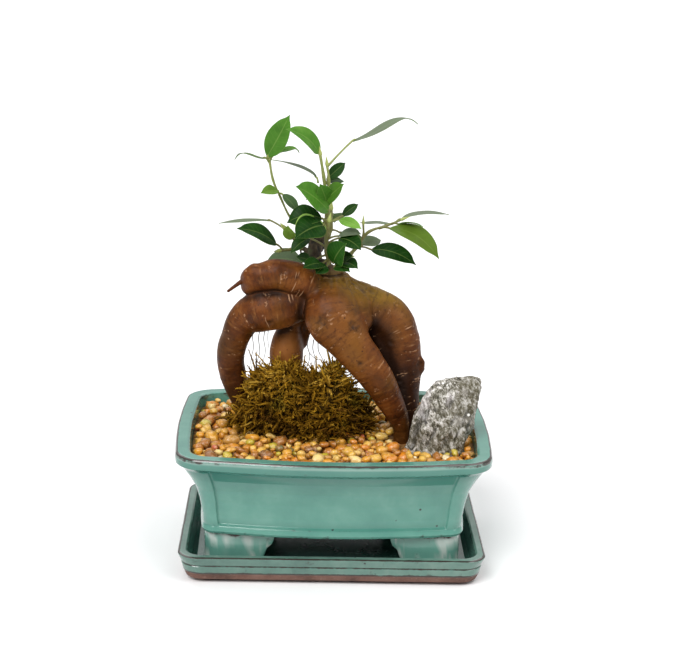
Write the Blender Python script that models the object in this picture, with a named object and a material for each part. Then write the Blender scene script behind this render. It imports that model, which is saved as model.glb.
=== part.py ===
"""A ginseng ficus in a glazed bonsai pot on its saucer.

All sizes below are in millimetres and turn into metres where a mesh is made.
The origin is on the table under the middle of the pot, +Z is up and -Y is the front.
"""

import math
import random

import bmesh
import bpy
import numpy as np
from mathutils import Vector
from mathutils.bvhtree import BVHTree
from mathutils.geometry import delaunay_2d_cdt

MM = 0.001
GAP = 0.3

# Plan of the pot at its rim, from which every level steps in
RIM_HALF_X = 89.0
RIM_HALF_Y = 65.0
RIM_CORNER = 17.0
LONG_SIDE_BOW = 7.0
SHORT_SIDE_BOW = 2.0
RIM_TOP = 77.0
LIP_BOTTOM = 70.0
POT_BOTTOM = 27.0
POT_FLOOR = 33.5
PANEL_DEPTH = 1.8
PANEL_POST = 9.0
PANEL_POST_LEAST = 2.5
PANEL_STEP = 1.2
CORNER_STEPS = 4

# Inner wall of the pot: height and inset from the rim
INNER_WALL = [(76.2, 8.6), (66.5, 9.6), (60.0, 15.0), (50.0, 19.6), (36.0, 22.6), (POT_FLOOR, 25.0)]

# Saucer
SAUCER_HALF_X = 87.5
SAUCER_HALF_Y = 60.5
SAUCER_CORNER = 17.0
SAUCER_TOP = 17.0
SAUCER_FLOOR = 7.0
SAUCER_FOOT = 1.5
SAUCER_FOOT_RADIUS = 6.0
SAUCER_FOOT_X = 68.0
SAUCER_FOOT_Y = 42.0

# Bracket feet of the pot
FOOT_X = 73.0
FOOT_Y = 49.0
FOOT_THICK = 9.0
FOOT_CORNER = 10.0
FOOT_INNER_X = 33.0
FOOT_INNER_Y = 21.0

# Drainage holes and the plastic mesh squares over them, each with four square holes
DRAIN_X = 33.0
DRAIN_RADIUS = 5.5
MESH_HALF = 9.0
MESH_THICK = 0.8
MESH_HOLE_SHIFT = 2.4
MESH_HOLE_RADIUS = 2.0

# Fill
SOIL_BOTTOM = POT_FLOOR + MESH_THICK + 2 * GAP
SOIL_TOP = 67.2
BED_TOP = 71.2
FOOT_HOLE_BOTTOM = 50.0
HOLE_CLEARANCE = 1.0

# Pebbles of the bed, in staggered rows
PEBBLE_PITCH = 11.6
PEBBLE_ROW_PITCH = PEBBLE_PITCH * math.sqrt(3) / 2
PEBBLE_SHIFT = 0.9
PEBBLE_RADIUS = 5.6
PEBBLE_LEAST_RADIUS = 3.2
PEBBLE_LIFT_LEAST = 3.2
PEBBLE_LIFT_MOST = 4.8
PEBBLE_ROOM = 0.3

# Holes that the root feet stand in: two ends of an oval and its radius
FOOT_HOLES = [
    ((-51.5, 10.0), (-51.5, 10.0), 7.0),
    ((-24.5, 15.0), (-24.5, 15.0), 6.2),
    ((39.5, -8.5), (45.0, 1.0), 6.4),
]

# Crown of the roots, cut flat where the fig is grafted on
CROWN = (-4.0, 9.0)
CROWN_TOP = 165.5
CROWN_CUT_RADIUS = 11.6

# Swollen roots: x, y, z and radius along each one
UPPER_LEFT_ROOT = [
    (-7, 1, 159, 8.0),
    (-14, -1, 161.5, 9.0),
    (-22, -3, 165.2, 9.8),
    (-33, -5, 168.4, 9.4),
    (-41, -5, 167.2, 8.6),
    (-46, -4, 165.2, 6.8),
]
LOWER_LEFT_ROOT = [
    (-8, 6, 150, 10.0),
    (-20.5, 3, 147.5, 11.2),
    (-32, 0, 147.0, 13.0),
    (-42.5, 0, 144.8, 13.2),
    (-51.5, 2, 138, 11.2),
    (-58.2, 4, 128, 9.0),
    (-60.0, 6, 116, 8.4),
    (-57.6, 8, 101.5, 8.2),
    (-53.5, 10, 87.5, 7.6),
    (-51.5, 10, 77, 6.8),
    (-51.5, 10, 46, 6.2),
]
MIDDLE_ROOT = [
    (-12, 10, 152, 8.0),
    (-20.0, 12, 142, 6.8),
    (-25.4, 13, 133, 9.8),
    (-27.6, 13, 121, 12.4),
    (-27.0, 13, 109.5, 11.2),
    (-25.6, 14, 96, 8.2),
    (-24.5, 15, 80, 6.4),
    (-24.5, 15, 46, 5.6),
]
FRONT_ROOT = [
    (-5, 0, 158, 10.0),
    (-3.0, -5, 150, 14.6),
    (-0.5, -9, 142.5, 16.4),
    (6.0, -13, 133, 14.0),
    (15.6, -15.5, 121.5, 11.6),
    (24.9, -14, 108.4, 10.0),
    (32.8, -11.5, 94.7, 8.4),
    (38.4, -9.5, 82.5, 6.4),
    (39.5, -8.5, 73, 5.6),
    (39.5, -8.5, 46, 5.0),
]
RIGHT_ROOT = [
    (0, 10, 154.6, 10.5),
    (10, 11, 149.4, 12.2),
    (20.6, 12, 143.8, 13.6),
    (30.8, 11.5, 135.4, 14.6),
    (37.4, 9, 124.0, 13.0),
    (40.6, 6.5, 110, 11.2),
    (43.0, 4, 95.5, 8.4),
    (45.0, 2, 82, 6.8),
    (45.0, 1, 73, 5.8),
    (45.0, 1, 46, 5.0),
]
NECK = [(-4, 9, 148, 13.0), (-3, 8, 158, 12.0), (-3, 8, 163, 10.8), (-4, 9, 171, 9.5)]
SHOULDER = [(4, 5, 152, 10.0), (10.5, 0, 149.5, 9.4), (14, -4, 141, 7.6)]
INNER_FLANK = [
    (18, 8, 140, 7.0),
    (25, 6.5, 126, 7.4),
    (31.5, 4, 110, 7.0),
    (37.0, 1.5, 96, 5.8),
    (40.5, -1, 84, 4.2),
]
KNOBS = [
    (50.6, 4, 112.5, 3.0),
    (-46.8, -7, 169.6, 3.0),
    (-51.0, -3, 163.5, 3.8),
    (3.0, 1, 161.5, 4.6),
    (-61.5, 0, 136, 3.2),
]
# The thin rootlet at the blunt end of the upper left root
ROOTLET = [(-49, -4, 165.5, 1.6), (-55, -5.5, 162.3, 1.2), (-61.5, -8, 158.5, 0.9)]
ROOT_VOXEL = 2.0
ROOT_TRIANGLES = 2300

# Moss clump: an oval mound, and tufts that keep clear of the roots and inside the rim
MOSS_CENTRE = (-14.0, -12.5)
MOSS_HALF_X = 45.0
MOSS_HALF_Y = 16.0
MOSS_HEIGHT = 38.5
MOSS_OUTLINE_STEPS = 28
MOSS_SHARES = (1.0, 0.97, 0.88, 0.72, 0.5, 0.25)
MOSS_UNDER_ROOT = 3.0
TUFTS = 92
TUFT_TRIES = 4000
TUFT_LENGTH = (9.0, 15.0)
TUFT_RADIUS = (1.8, 2.7)
TUFT_ROOT_ROOM = 1.8
TUFT_LOWEST_TIP = BED_TOP + 6.5
TUFT_RIM_INSET = 12.0

# Half width of the block that cuts roots and trunk off flat
SLAB_HALF = 90.0

# Stone: its foot on the soil, its shoulder above the gravel and its top
STONE_FOOT = [
    (45.5, -30.0), (52.0, -37.5), (66.0, -39.0), (75.0, -34.0),
    (77.0, -24.0), (70.0, -16.0), (54.0, -15.5), (46.5, -20.5),
]
STONE_LEVELS = [
    # height, shift from the foot in x and y, share of the foot's width, share of its depth
    (SOIL_TOP + GAP, 0.0, 0.0, 1.0, 1.0),
    (BED_TOP + 1.0, 0.0, 0.0, 1.0, 1.0),
    (84.0, 2.0, 0.2, 1.08, 0.96),
    (95.0, 4.0, 1.0, 1.05, 0.86),
    (103.0, 6.4, 2.0, 0.97, 0.74),
    (109.5, 10.0, 2.6, 0.82, 0.54),
    (113.0, 13.0, 3.0, 0.50, 0.30),
]

# Woody graft: the collar on the crown, the stub of the old trunk and the branches on it
TRUNK_BASE = CROWN_TOP + GAP
TRUNK = [(-7, 9, TRUNK_BASE - 2, 5.6), (-10.5, 8.5, 173, 4.8), (-11, 8, 182, 4.5), (-9.5, 7, 189.5, 3.4)]
TRUNK_COLLAR = [(-4, 9, TRUNK_BASE - 1, 9.4), (-4.3, 9, 168.2, 7.6), (-4.6, 9, 170.0, 4.8)]
RIGHT_BRANCH = [(2.0, 10, TRUNK_BASE - 1, 3.2), (4.4, 10, 171, 2.4), (6.6, 10, 175, 1.8)]
MIDDLE_BRANCH = [(-9.5, 7.2, 187, 3.0), (-7.8, 6.4, 192, 2.2), (-7.0, 6, 196, 1.6)]
LEFT_BRANCH = [(-10.5, 7.6, 184, 2.6), (-16, 7.4, 188.5, 1.8), (-19, 7.2, 191.5, 1.3)]
LOW_LEFT_BRANCH = [(-11, 8.4, 176, 2.6), (-16, 9, 178.5, 1.8), (-19, 9, 180, 1.4)]
FRONT_BRANCH = [(-8, 6, 172, 2.8), (-6, 1.5, 173.6, 2.0), (-5.0, -1.5, 175, 1.6)]
BACK_BRANCH = [(-9.5, 11, 180, 2.6), (-7, 15, 183, 1.8), (-5.5, 17.5, 185, 1.4)]

# Leafy shoots, each with the branch that it grows from, its stems and its leaves.
# A stem is a list of x, y, z and radius; the first one starts at the branch's end.
# A leaf is: stalk start, blade base, blade tip, width, side that its upper face looks to,
# fold in degrees and rise of its arch.
EDGE_ON = (0, 0.28, 0.96)
SHOOTS = {
    "shoot_left": (
        LEFT_BRANCH,
        [
            [(-27.2, 6, 199.1, 1.1), (-32.7, 5, 210.4, 1.0), (-37.1, 4, 220.7, 1.0), (-39.5, 4, 233, 0.9)],
        ],
        [
            ((-39.5, 4, 232), (-39.2, 3.4, 235), (-26.9, -2, 258.4), 15, (-0.8, -0.7, 0.4), 28, 1.5),
            ((-39.5, 4, 231), (-36.5, 7, 234.5), (-22, 15, 235.8), 8, (0, -0.35, 1), 20, 2.5),
            ((-39.5, 4, 231), (-43.5, 0, 234.8), (-59, -17, 234.6), 7, EDGE_ON, 5, 3.6),
            ((-33.4, 5, 211.5), (-31.8, 2.5, 213.2), (-45, -6.5, 213.8), 9, (0, -0.8, 0.7), 24, 1.0),
            ((-27.6, 6, 199.6), (-25.6, 3.5, 203), (-31.2, 9, 214), 11, (0.6, -1, 0.2), 20, 0.8),
        ],
    ),
    "shoot_middle": (
        MIDDLE_BRANCH,
        [
            [(-6.0, 6, 200, 1.4), (-6.9, 6, 211.7, 1.2), (-8.5, 4, 223.2, 1.1), (-10.6, 2, 235.3, 0.9)],
            [(-6.4, 6, 203, 1.1), (-4.4, 5, 212, 0.9), (-5.2, 4.6, 222, 0.8), (-5.8, 4.5, 235, 0.9)],
        ],
        [
            ((-10.5, 2.1, 234.4), (-10.9, 1.5, 237.4), (-28.6, -10.5, 251.8), 15, (-0.2, -0.8, 0.95), 16, 4.0),
            ((-8.4, 4.5, 220.5), (-14.2, 11, 222.6), (-37.5, 30, 227.6), 8, EDGE_ON, 5, 3.0),
            ((-5.5, 4.5, 230), (7.8, 12, 243), (46, 30, 250.0), 11, (-0.3, 0.05, 1), 8, 5.5),
            ((-5.2, 4.7, 218.6), (-2.8, 7.8, 220.6), (5.6, 21, 229), 12, (0.5, -1, 0.5), 16, 0.8),
            ((-5.2, 4.7, 215), (-2.0, 8.5, 216.6), (6.5, 20, 217.0), 10, (0.2, -0.7, 1), 16, 1.2),
            ((-6.6, 5.5, 207), (-7.8, 0, 206.6), (-25.0, -18.5, 222), 18, (-0.1, -1, 1.0), 12, 1.5),
            ((-4.5, 5, 210), (-3.6, -0.5, 212.4), (3.6, -15, 222.8), 15, (0.1, -1, 1.0), 12, 1.2),
        ],
    ),
    "shoot_front": (
        FRONT_BRANCH,
        [
            [(-6.0, -4.5, 182, 1.4), (-6.2, -4.0, 190, 1.3), (-5.2, -3.0, 198, 1.1)],
            [(-5.2, -3.2, 177, 1.4), (-1.0, -4.5, 177.5, 1.2), (4.0, -5.0, 178.5, 1.0)],
        ],
        [
            ((-5.3, -3, 196.6), (-9, -4, 200.8), (-28.8, -6, 198.2), 15, (-0.1, -0.8, 1), 14, 4.0),
            ((-5.8, -3.4, 194), (-8.0, -7.5, 197.6), (-24, -24, 193.5), 18, (0, -0.9, 0.8), 14, 3.6),
            ((-5.3, -3, 197.4), (-1.5, -6.5, 199.4), (13.4, -20, 197.6), 11, (0, -1, 0.9), 14, 1.2),
            ((-6.1, -4.1, 188.5), (0.5, -5.5, 193.0), (16, -11, 191.5), 12, (0.1, -0.4, 1), 10, 1.6),
            ((-6.1, -4.2, 186), (0.5, -8.0, 188.6), (13.5, -18.5, 183.6), 14, (0.2, -0.9, 1), 12, 2.0),
            ((-6.1, -4.3, 184), (-12, -6.5, 187), (-27.4, -14.5, 182.2), 13, (-0.2, -0.8, 1), 14, 1.8),
            ((-5.9, -4.6, 180.5), (-6.5, -9.5, 180), (0.6, -24, 187.6), 15, (0.1, -1, 0.9), 14, 1.2),
            ((3.2, -4.9, 178.4), (5.5, -8, 179.4), (14.5, -19, 173.4), 12, (0.2, -0.9, 1), 14, 1.6),
            ((-3.4, -3.8, 177.2), (-7, -9, 176.4), (-18.0, -18.5, 178), 12, (-0.2, -0.8, 1), 14, 2.0),
            ((3.8, -5.0, 178.4), (5.8, -4.5, 181.4), (11.5, -6.5, 191.0), 9, (0.2, -1, 0.7), 14, 0.8),
        ],
    ),
    "shoot_right": (
        RIGHT_BRANCH,
        [
            [(12.0, 10, 182, 1.5), (18, 9, 190.5, 1.3), (28, 8, 194.6, 1.1), (36, 9, 197.8, 0.9)],
            [(12.4, 10, 181.5, 1.1), (15, 9.2, 188, 1.0), (14.9, 9, 196.4, 0.9)],
        ],
        [
            ((14.9, 9.1, 193.0), (13.2, 9.5, 195.6), (5.5, 14.5, 204.5), 7, (0.3, -1, 0.4), 14, 0.6),
            ((26, 8.2, 193.8), (27.5, 13, 195.4), (11.5, 29, 193.8), 10, (0, 0.05, 1), 6, 2.0),
            ((34, 9, 197), (38.5, 12, 200.6), (66, 25, 198.4), 8, EDGE_ON, 6, 3.4),
            ((31, 8.3, 195.6), (34, 4, 196.6), (49, -8, 196.4), 4.5, EDGE_ON, 6, 2.6),
            ((24, 8.2, 192.8), (28.6, 3, 194.4), (57, -15, 180.2), 18, (0.3, -0.65, 1), 14, 7.5),
            ((12.2, 10, 181.6), (17.6, 4, 183.2), (44.5, -10.5, 176), 14, (0.1, -0.8, 1), 12, 3.5),
            ((13.2, 9.8, 183.4), (17, 13, 184.6), (29.5, 22, 185.4), 11, (0.1, -0.5, 1), 10, 1.2),
        ],
    ),
    "shoot_low_left": (
        LOW_LEFT_BRANCH,
        [
            [(-24, 8, 185.5, 1.1), (-29.3, 6, 191.6, 0.9)],
            [(-20.6, 8.8, 181.2, 1.0), (-27, 5.5, 180.2, 0.9), (-32, 1.5, 180.4, 0.8)],
        ],
        [
            ((-28.6, 6.2, 190.8), (-40.3, 10, 196), (-69, 14, 192.6), 8, EDGE_ON, 4, 1.8),
            ((-31, 2.2, 180.4), (-34.6, -3.5, 184.2), (-57.4, -16.5, 195.8), 15, (0, -0.8, 1), 12, 2.5),
            ((-25, 7.7, 186.6), (-25.5, 1.5, 188.6), (-30.5, -13, 197), 9, (-0.4, 0, 1), 14, 0.8),
            ((-21.3, 8.4, 182.2), (-25.5, 13.5, 177.5), (-45, 21, 174.6), 16, (0, -0.9, 1), 8, 3.0),
        ],
    ),
    "shoot_back": (
        BACK_BRANCH,
        [
            [(-3.5, 20, 190, 1.2), (-3.5, 21.5, 200, 1.0)],
        ],
        [
            ((-3.5, 21.4, 199), (-6.5, 24, 201.2), (-18, 38, 203), 14, (0, 0.6, 1), 14, 2.4),
            ((-3.5, 21, 196), (0.5, 24, 197), (11, 39, 191), 14, (0.2, 0.7, 1), 14, 2.8),
            ((-3.5, 20.4, 191.4), (-8, 23, 189.5), (-20, 36, 184), 15, (-0.2, 0.8, 1), 14, 2.8),
            ((-3.6, 20, 189), (2, 21.5, 187), (15.5, 28, 177), 13, (0.5, 0.5, 1), 14, 2.4),
        ],
    ),
}
STALK_WIDTH = 0.75
STALK_THICKNESS = 1.3
BLADE_THICKNESS = 0.7
BLADE_MARKS = (0.0, 0.12, 0.32, 0.56, 0.78, 0.93, 1.0)


def clear_scene():
    for obj in list(bpy.data.objects):
        bpy.data.objects.remove(obj, do_unlink=True)


def make_material(name, colour, roughness, metallic=0.0):
    material = bpy.data.materials.new(name)
    material.use_nodes = True
    shader = material.node_tree.nodes["Principled BSDF"]
    shader.inputs["Base Color"].default_value = (*colour, 1.0)
    shader.inputs["Roughness"].default_value = roughness
    shader.inputs["Metallic"].default_value = metallic
    material.diffuse_color = (*colour, 1.0)
    return material


def make_object(name, points, faces, material=None):
    """A mesh object in metres from points in millimetres, with its faces pointing out."""
    mesh = bpy.data.meshes.new(name)
    mesh.from_pydata([[c * MM for c in p] for p in points], [], faces)
    shape = bmesh.new()
    shape.from_mesh(mesh)
    bmesh.ops.recalc_face_normals(shape, faces=shape.faces)
    shape.to_mesh(mesh)
    shape.free()
    obj = bpy.data.objects.new(name, mesh)
    bpy.context.scene.collection.objects.link(obj)
    if material:
        mesh.materials.append(material)
    return obj


def apply_modifiers(obj):
    """Bakes the object's modifiers into its mesh."""
    bpy.context.view_layer.update()
    graph = bpy.context.evaluated_depsgraph_get()
    mesh = bpy.data.meshes.new_from_object(obj.evaluated_get(graph), depsgraph=graph)
    obj.modifiers.clear()
    obj.data = mesh


def drop(objects):
    for obj in objects:
        bpy.data.objects.remove(obj, do_unlink=True)


def boolean(obj, others, operation, solver="EXACT"):
    """One Boolean of obj with a collection of others, which are then removed."""
    group = bpy.data.collections.new("operands")
    for other in others:
        for owner in list(other.users_collection):
            owner.objects.unlink(other)
        group.objects.link(other)
    bpy.context.scene.collection.children.link(group)
    cut = obj.modifiers.new("join", "BOOLEAN")
    cut.operation = operation
    cut.operand_type = "COLLECTION"
    cut.collection = group
    cut.solver = solver
    apply_modifiers(obj)
    drop(others)
    bpy.data.collections.remove(group)


def triangulate(obj):
    shape = bmesh.new()
    shape.from_mesh(obj.data)
    bmesh.ops.dissolve_degenerate(shape, edges=shape.edges, dist=0.000004)
    loose = [edge for edge in shape.edges if not edge.link_faces]
    bmesh.ops.delete(shape, geom=loose, context="EDGES")
    bmesh.ops.triangulate(shape, faces=shape.faces)
    shape.to_mesh(obj.data)
    shape.free()


def keep_largest_body(obj):
    """Drops loose scraps that a Boolean leaves beside the main body."""
    shape = bmesh.new()
    shape.from_mesh(obj.data)
    left = set(shape.verts)
    bodies = []
    while left:
        stack = [left.pop()]
        body = set(stack)
        while stack:
            for edge in stack.pop().link_edges:
                for vert in edge.verts:
                    if vert not in body:
                        body.add(vert)
                        left.discard(vert)
                        stack.append(vert)
        bodies.append(body)
    bodies.sort(key=len)
    for body in bodies[:-1]:
        bmesh.ops.delete(shape, geom=list(body), context="VERTS")
    shape.to_mesh(obj.data)
    shape.free()


def smooth(obj, degrees=35.0):
    obj.data.shade_smooth()
    obj.data.set_sharp_from_angle(angle=math.radians(degrees))


def plan_ring(half_x, half_y, corner, bow_x=0.0, bow_y=0.0, recess=0.0, post=None):
    """One level of a bowed rectangle with rounded corners and a sunken panel on each side.

    The long sides bulge by bow_y and the short ones by bow_x. Between the posts the side steps
    in by recess. Points run anticlockwise from the front left; with no post the sides are plain."""
    ring = []
    for turn in range(4):
        along_x = turn % 2 == 0
        length = (half_x if along_x else half_y) - corner
        depth = half_y if along_x else half_x
        bow = bow_y if along_x else bow_x
        marks = []
        if post is not None:
            panel = length - post
            inner = [-0.4 * panel, 0.4 * panel] if along_x else []
            marks = [-panel - PANEL_STEP, -panel] + inner + [panel, panel + PANEL_STEP]
        for s in marks:
            step = recess if abs(s) <= panel + 0.001 else 0.0
            ring.append(turned(s, step - depth - bow * (1.0 - (s / length) ** 2), turn))
        for k in range(CORNER_STEPS + 1):
            angle = math.pi / 2 * k / CORNER_STEPS
            s = length + corner * math.sin(angle)
            ring.append(turned(s, corner - depth - corner * math.cos(angle), turn))
    return ring


def turned(x, y, turn):
    """Turns a point of the front side to side number turn, anticlockwise."""
    for _ in range(turn):
        x, y = -y, x
    return (x, y)


def loft(rings):
    """Points and faces of a closed body through rings of (height, plan points)."""
    points = [(x, y, z) for z, ring in rings for x, y in ring]
    count = len(rings[0][1])
    faces = []
    for level in range(len(rings) - 1):
        for k in range(count):
            a = level * count + k
            b = level * count + (k + 1) % count
            faces.append((a, b, b + count, a + count))
    faces.append(tuple(range(count)))
    faces.append(tuple(range(len(points) - count, len(points))))
    return points, faces


def pot_ring(inset, recess=0.0, shrink=0.0):
    """The pot's plan, inset from the rim, with the panel's ends drawn in by shrink."""
    return plan_ring(
        RIM_HALF_X - inset,
        RIM_HALF_Y - 0.92 * inset,
        RIM_CORNER - 0.35 * inset,
        SHORT_SIDE_BOW,
        LONG_SIDE_BOW - 0.08 * inset,
        recess,
        max(PANEL_POST - 0.35 * inset, PANEL_POST_LEAST) + shrink,
    )


def inner_inset(height):
    """Inset of the pot's inner wall at a height, read off its levels."""
    levels = sorted(INNER_WALL)
    return float(np.interp(height, [z for z, _ in levels], [d for _, d in levels]))


def make_pot(material):
    # height, inset from the rim, depth of the panels, how far their ends draw in
    outer = [
        (POT_BOTTOM, 17.6, 0.0, 0.0),
        (POT_BOTTOM + 1.0, 15.4, 0.0, 0.0),
        (29.6, 14.6, 0.0, 0.0),
        (31.4, 15.2, 0.0, 0.0),
        (32.6, 15.6, 0.2, 6.0),
        (34.0, 15.5, PANEL_DEPTH, 3.0),
        (38.0, 15.2, PANEL_DEPTH, 0.0),
        (47.0, 13.8, PANEL_DEPTH, 0.0),
        (54.5, 11.8, PANEL_DEPTH, 0.0),
        (61.5, 8.2, PANEL_DEPTH, 0.0),
        (68.0, 4.0, 1.2, 0.0),
        (LIP_BOTTOM, 1.4, 0.0, 0.0),
        (LIP_BOTTOM + 1.0, 0.2, 0.0, 0.0),
        (74.0, 0.0, 0.0, 0.0),
        (76.2, 0.5, 0.0, 0.0),
        (RIM_TOP, 1.8, 0.0, 0.0),
        (RIM_TOP, 7.2, 0.0, 0.0),
    ]
    rings = [(z, pot_ring(inset, recess, shrink)) for z, inset, recess, shrink in outer]
    rings += [(z, pot_ring(inset)) for z, inset in INNER_WALL]
    pot = make_object("pot", *loft(rings), material)
    boolean(pot, [make_bracket_foot(sx, sy) for sx in (-1, 1) for sy in (-1, 1)], "UNION")
    drains = []
    for side in (-1, 1):
        drains.append(prism(circle(side * DRAIN_X, 0, DRAIN_RADIUS, 16), POT_BOTTOM - 5, POT_FLOOR + 5))
    boolean(pot, drains, "DIFFERENCE")
    triangulate(pot)
    smooth(pot)
    return pot


def make_bracket_foot(sx, sy):
    """An L-shaped corner foot whose two ends sweep up to the pot's underside."""
    top = POT_BOTTOM + 1.2
    bottom = SAUCER_FLOOR + GAP
    # distance from the inner end and height of the underside there
    ends = [(0.0, 24.0), (1.2, 20.5), (4.0, 17.8), (5.2, 14.2), (8.5, bottom)]
    centre_x = FOOT_X - FOOT_CORNER
    centre_y = FOOT_Y - FOOT_CORNER
    inner = FOOT_CORNER - FOOT_THICK
    sections = []
    for run, height in ends:
        x = FOOT_INNER_X + run
        sections.append(((x, FOOT_Y), (x, FOOT_Y - FOOT_THICK), height))
    for k in range(5):
        angle = math.pi / 2 - math.pi / 8 * k
        c, s = math.cos(angle), math.sin(angle)
        sections.append((
            (centre_x + FOOT_CORNER * c, centre_y + FOOT_CORNER * s),
            (centre_x + inner * c, centre_y + inner * s),
            bottom,
        ))
    for run, height in reversed(ends):
        y = FOOT_INNER_Y + run
        sections.append(((FOOT_X, y), (FOOT_X - FOOT_THICK, y), height))
    points = []
    for outside, inside, height in sections:
        for (x, y), z in ((outside, height), (inside, height), (inside, top), (outside, top)):
            points.append((sx * x, sy * y, z))
    faces = [(0, 1, 2, 3), tuple(len(points) - 4 + k for k in range(4))]
    for row in range(len(sections) - 1):
        for k in range(4):
            a = 4 * row + k
            b = 4 * row + (k + 1) % 4
            faces.append((a, b, b + 4, a + 4))
    return make_object("foot", points, faces)


def circle(x, y, radius, count):
    turns = [2 * math.pi * k / count for k in range(count)]
    return [(x + radius * math.cos(t), y + radius * math.sin(t)) for t in turns]


def oval(start, end, radius, count=12):
    """Outline of all that lies within radius of the line from start to end."""
    angle = math.atan2(end[1] - start[1], end[0] - start[0])
    outline = []
    half = count // 2
    for centre, first in ((end, angle - math.pi / 2), (start, angle + math.pi / 2)):
        for k in range(half + 1):
            if start == end and k == half:
                continue
            t = first + math.pi * k / half
            outline.append((centre[0] + radius * math.cos(t), centre[1] + radius * math.sin(t)))
    return outline


def prism(outline, bottom, top):
    count = len(outline)
    points = [(x, y, z) for z in (bottom, top) for x, y in outline]
    faces = [(k, (k + 1) % count, (k + 1) % count + count, k + count) for k in range(count)]
    faces += [tuple(range(count)), tuple(range(count, 2 * count))]
    return make_object("prism", points, faces)


def slab(bottom, top):
    """A block wider than the plant, for cutting a piece off flat."""
    h = SLAB_HALF
    return prism([(-h, -h), (h, -h), (h, h), (-h, h)], bottom, top)


def make_saucer(material):
    # height and inset from the saucer's rim, up the outside and down the inside
    levels = [
        (SAUCER_FOOT, 8.0),
        (2.4, 6.2),
        (6.0, 4.8),
        (6.5, 4.3),
        (10.6, 2.8),
        (11.1, 3.1),
        (11.7, 2.4),
        (15.4, 0.4),
        (16.5, 0.0),
        (SAUCER_TOP, 1.0),
        (SAUCER_TOP, 4.4),
        (16.3, 5.4),
        (9.2, 7.6),
        (SAUCER_FLOOR, 9.8),
    ]
    rings = []
    for z, inset in levels:
        ring = plan_ring(SAUCER_HALF_X - inset, SAUCER_HALF_Y - inset, SAUCER_CORNER - 0.5 * inset)
        rings.append((z, ring))
    saucer = make_object("saucer", *loft(rings), material)
    feet = []
    for sx in (-1, 1):
        for sy in (-1, 1):
            outline = circle(sx * SAUCER_FOOT_X, sy * SAUCER_FOOT_Y, SAUCER_FOOT_RADIUS, 16)
            feet.append(prism(outline, 0.0, SAUCER_FOOT + 0.6))
    boolean(saucer, feet, "UNION")
    triangulate(saucer)
    smooth(saucer)
    return saucer


def make_drain_meshes(material):
    """Plastic mesh squares over the two drainage holes, each with four square holes."""
    bottom = POT_FLOOR + GAP
    for side, name in ((-1, "drain_mesh_left"), (1, "drain_mesh_right")):
        x = side * DRAIN_X
        square = [(x - MESH_HALF, -MESH_HALF), (x + MESH_HALF, -MESH_HALF),
                  (x + MESH_HALF, MESH_HALF), (x - MESH_HALF, MESH_HALF)]
        plate = prism(square, bottom, bottom + MESH_THICK)
        plate.name = name
        plate.data.name = name
        plate.data.materials.append(material)
        holes = []
        for px in (-MESH_HOLE_SHIFT, MESH_HOLE_SHIFT):
            for py in (-MESH_HOLE_SHIFT, MESH_HOLE_SHIFT):
                outline = circle(x + px, py, MESH_HOLE_RADIUS, 4)
                holes.append(prism(outline, bottom - MESH_THICK, bottom + 2 * MESH_THICK))
        boolean(plate, holes, "DIFFERENCE")
        triangulate(plate)


def make_soil(material):
    heights = [SOIL_BOTTOM, 36.0, 50.0, 60.0, 66.5, SOIL_TOP]
    rings = [(z, pot_ring(inner_inset(z) + GAP + 0.1)) for z in heights]
    soil = make_object("soil", *loft(rings), material)
    holes = []
    for start, end, radius in FOOT_HOLES:
        outline = oval(start, end, radius + HOLE_CLEARANCE)
        holes.append(prism(outline, FOOT_HOLE_BOTTOM, SOIL_TOP + 5))
    boolean(soil, holes, "DIFFERENCE")
    triangulate(soil)
    return soil


def spline(points, steps):
    """A Catmull-Rom curve through rows of numbers, as an array with steps rows a span."""
    rows = np.array(points, float)
    padded = np.vstack([2 * rows[0] - rows[1], rows, 2 * rows[-1] - rows[-2]])
    out = []
    for k in range(len(rows) - 1):
        a, b, c, d = padded[k : k + 4]
        for t in np.arange(steps) / steps:
            out.append(0.5 * (2 * b + (c - a) * t + (2 * a - 5 * b + 4 * c - d) * t**2
                              + (3 * b - a - 3 * c + d) * t**3))
    out.append(rows[-1])
    return np.array(out)


def tube(points, sides, steps, rounded=False):
    """A closed tube along x, y, z and radius rows, with flat or domed ends."""
    rows = spline(points, steps)
    if rounded:
        rows = domed(rows)
    centres, radii = rows[:, :3], rows[:, 3]
    tangents = np.gradient(centres, axis=0)
    tangents /= np.linalg.norm(tangents, axis=1)[:, None]
    side = np.cross(tangents[0], (0.3, 1.0, 0.2))
    points_out = []
    for centre, tangent, radius in zip(centres, tangents, radii):
        side = side - tangent * np.dot(side, tangent)
        side /= np.linalg.norm(side)
        other = np.cross(tangent, side)
        for k in range(sides):
            angle = 2 * math.pi * k / sides
            points_out.append(centre + radius * (math.cos(angle) * side + math.sin(angle) * other))
    faces = []
    for row in range(len(rows) - 1):
        for k in range(sides):
            a = row * sides + k
            b = row * sides + (k + 1) % sides
            faces.append((a, b, b + sides, a + sides))
    last = len(points_out) - sides
    faces += [tuple(range(sides)), tuple(range(last, last + sides))]
    return points_out, faces


def domed(rows):
    """Adds two smaller rows at each end of a tube, so that it closes as a dome."""
    out = list(rows)
    for end, inner in ((0, 1), (-1, -2)):
        away = rows[end, :3] - rows[inner, :3]
        away /= np.linalg.norm(away)
        radius = rows[end, 3]
        caps = [np.append(rows[end, :3] + away * radius * reach, radius * share)
                for reach, share in ((0.6, 0.8), (0.95, 0.35))]
        out = caps[::-1] + out if end == 0 else out + caps
    return np.array(out)


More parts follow.
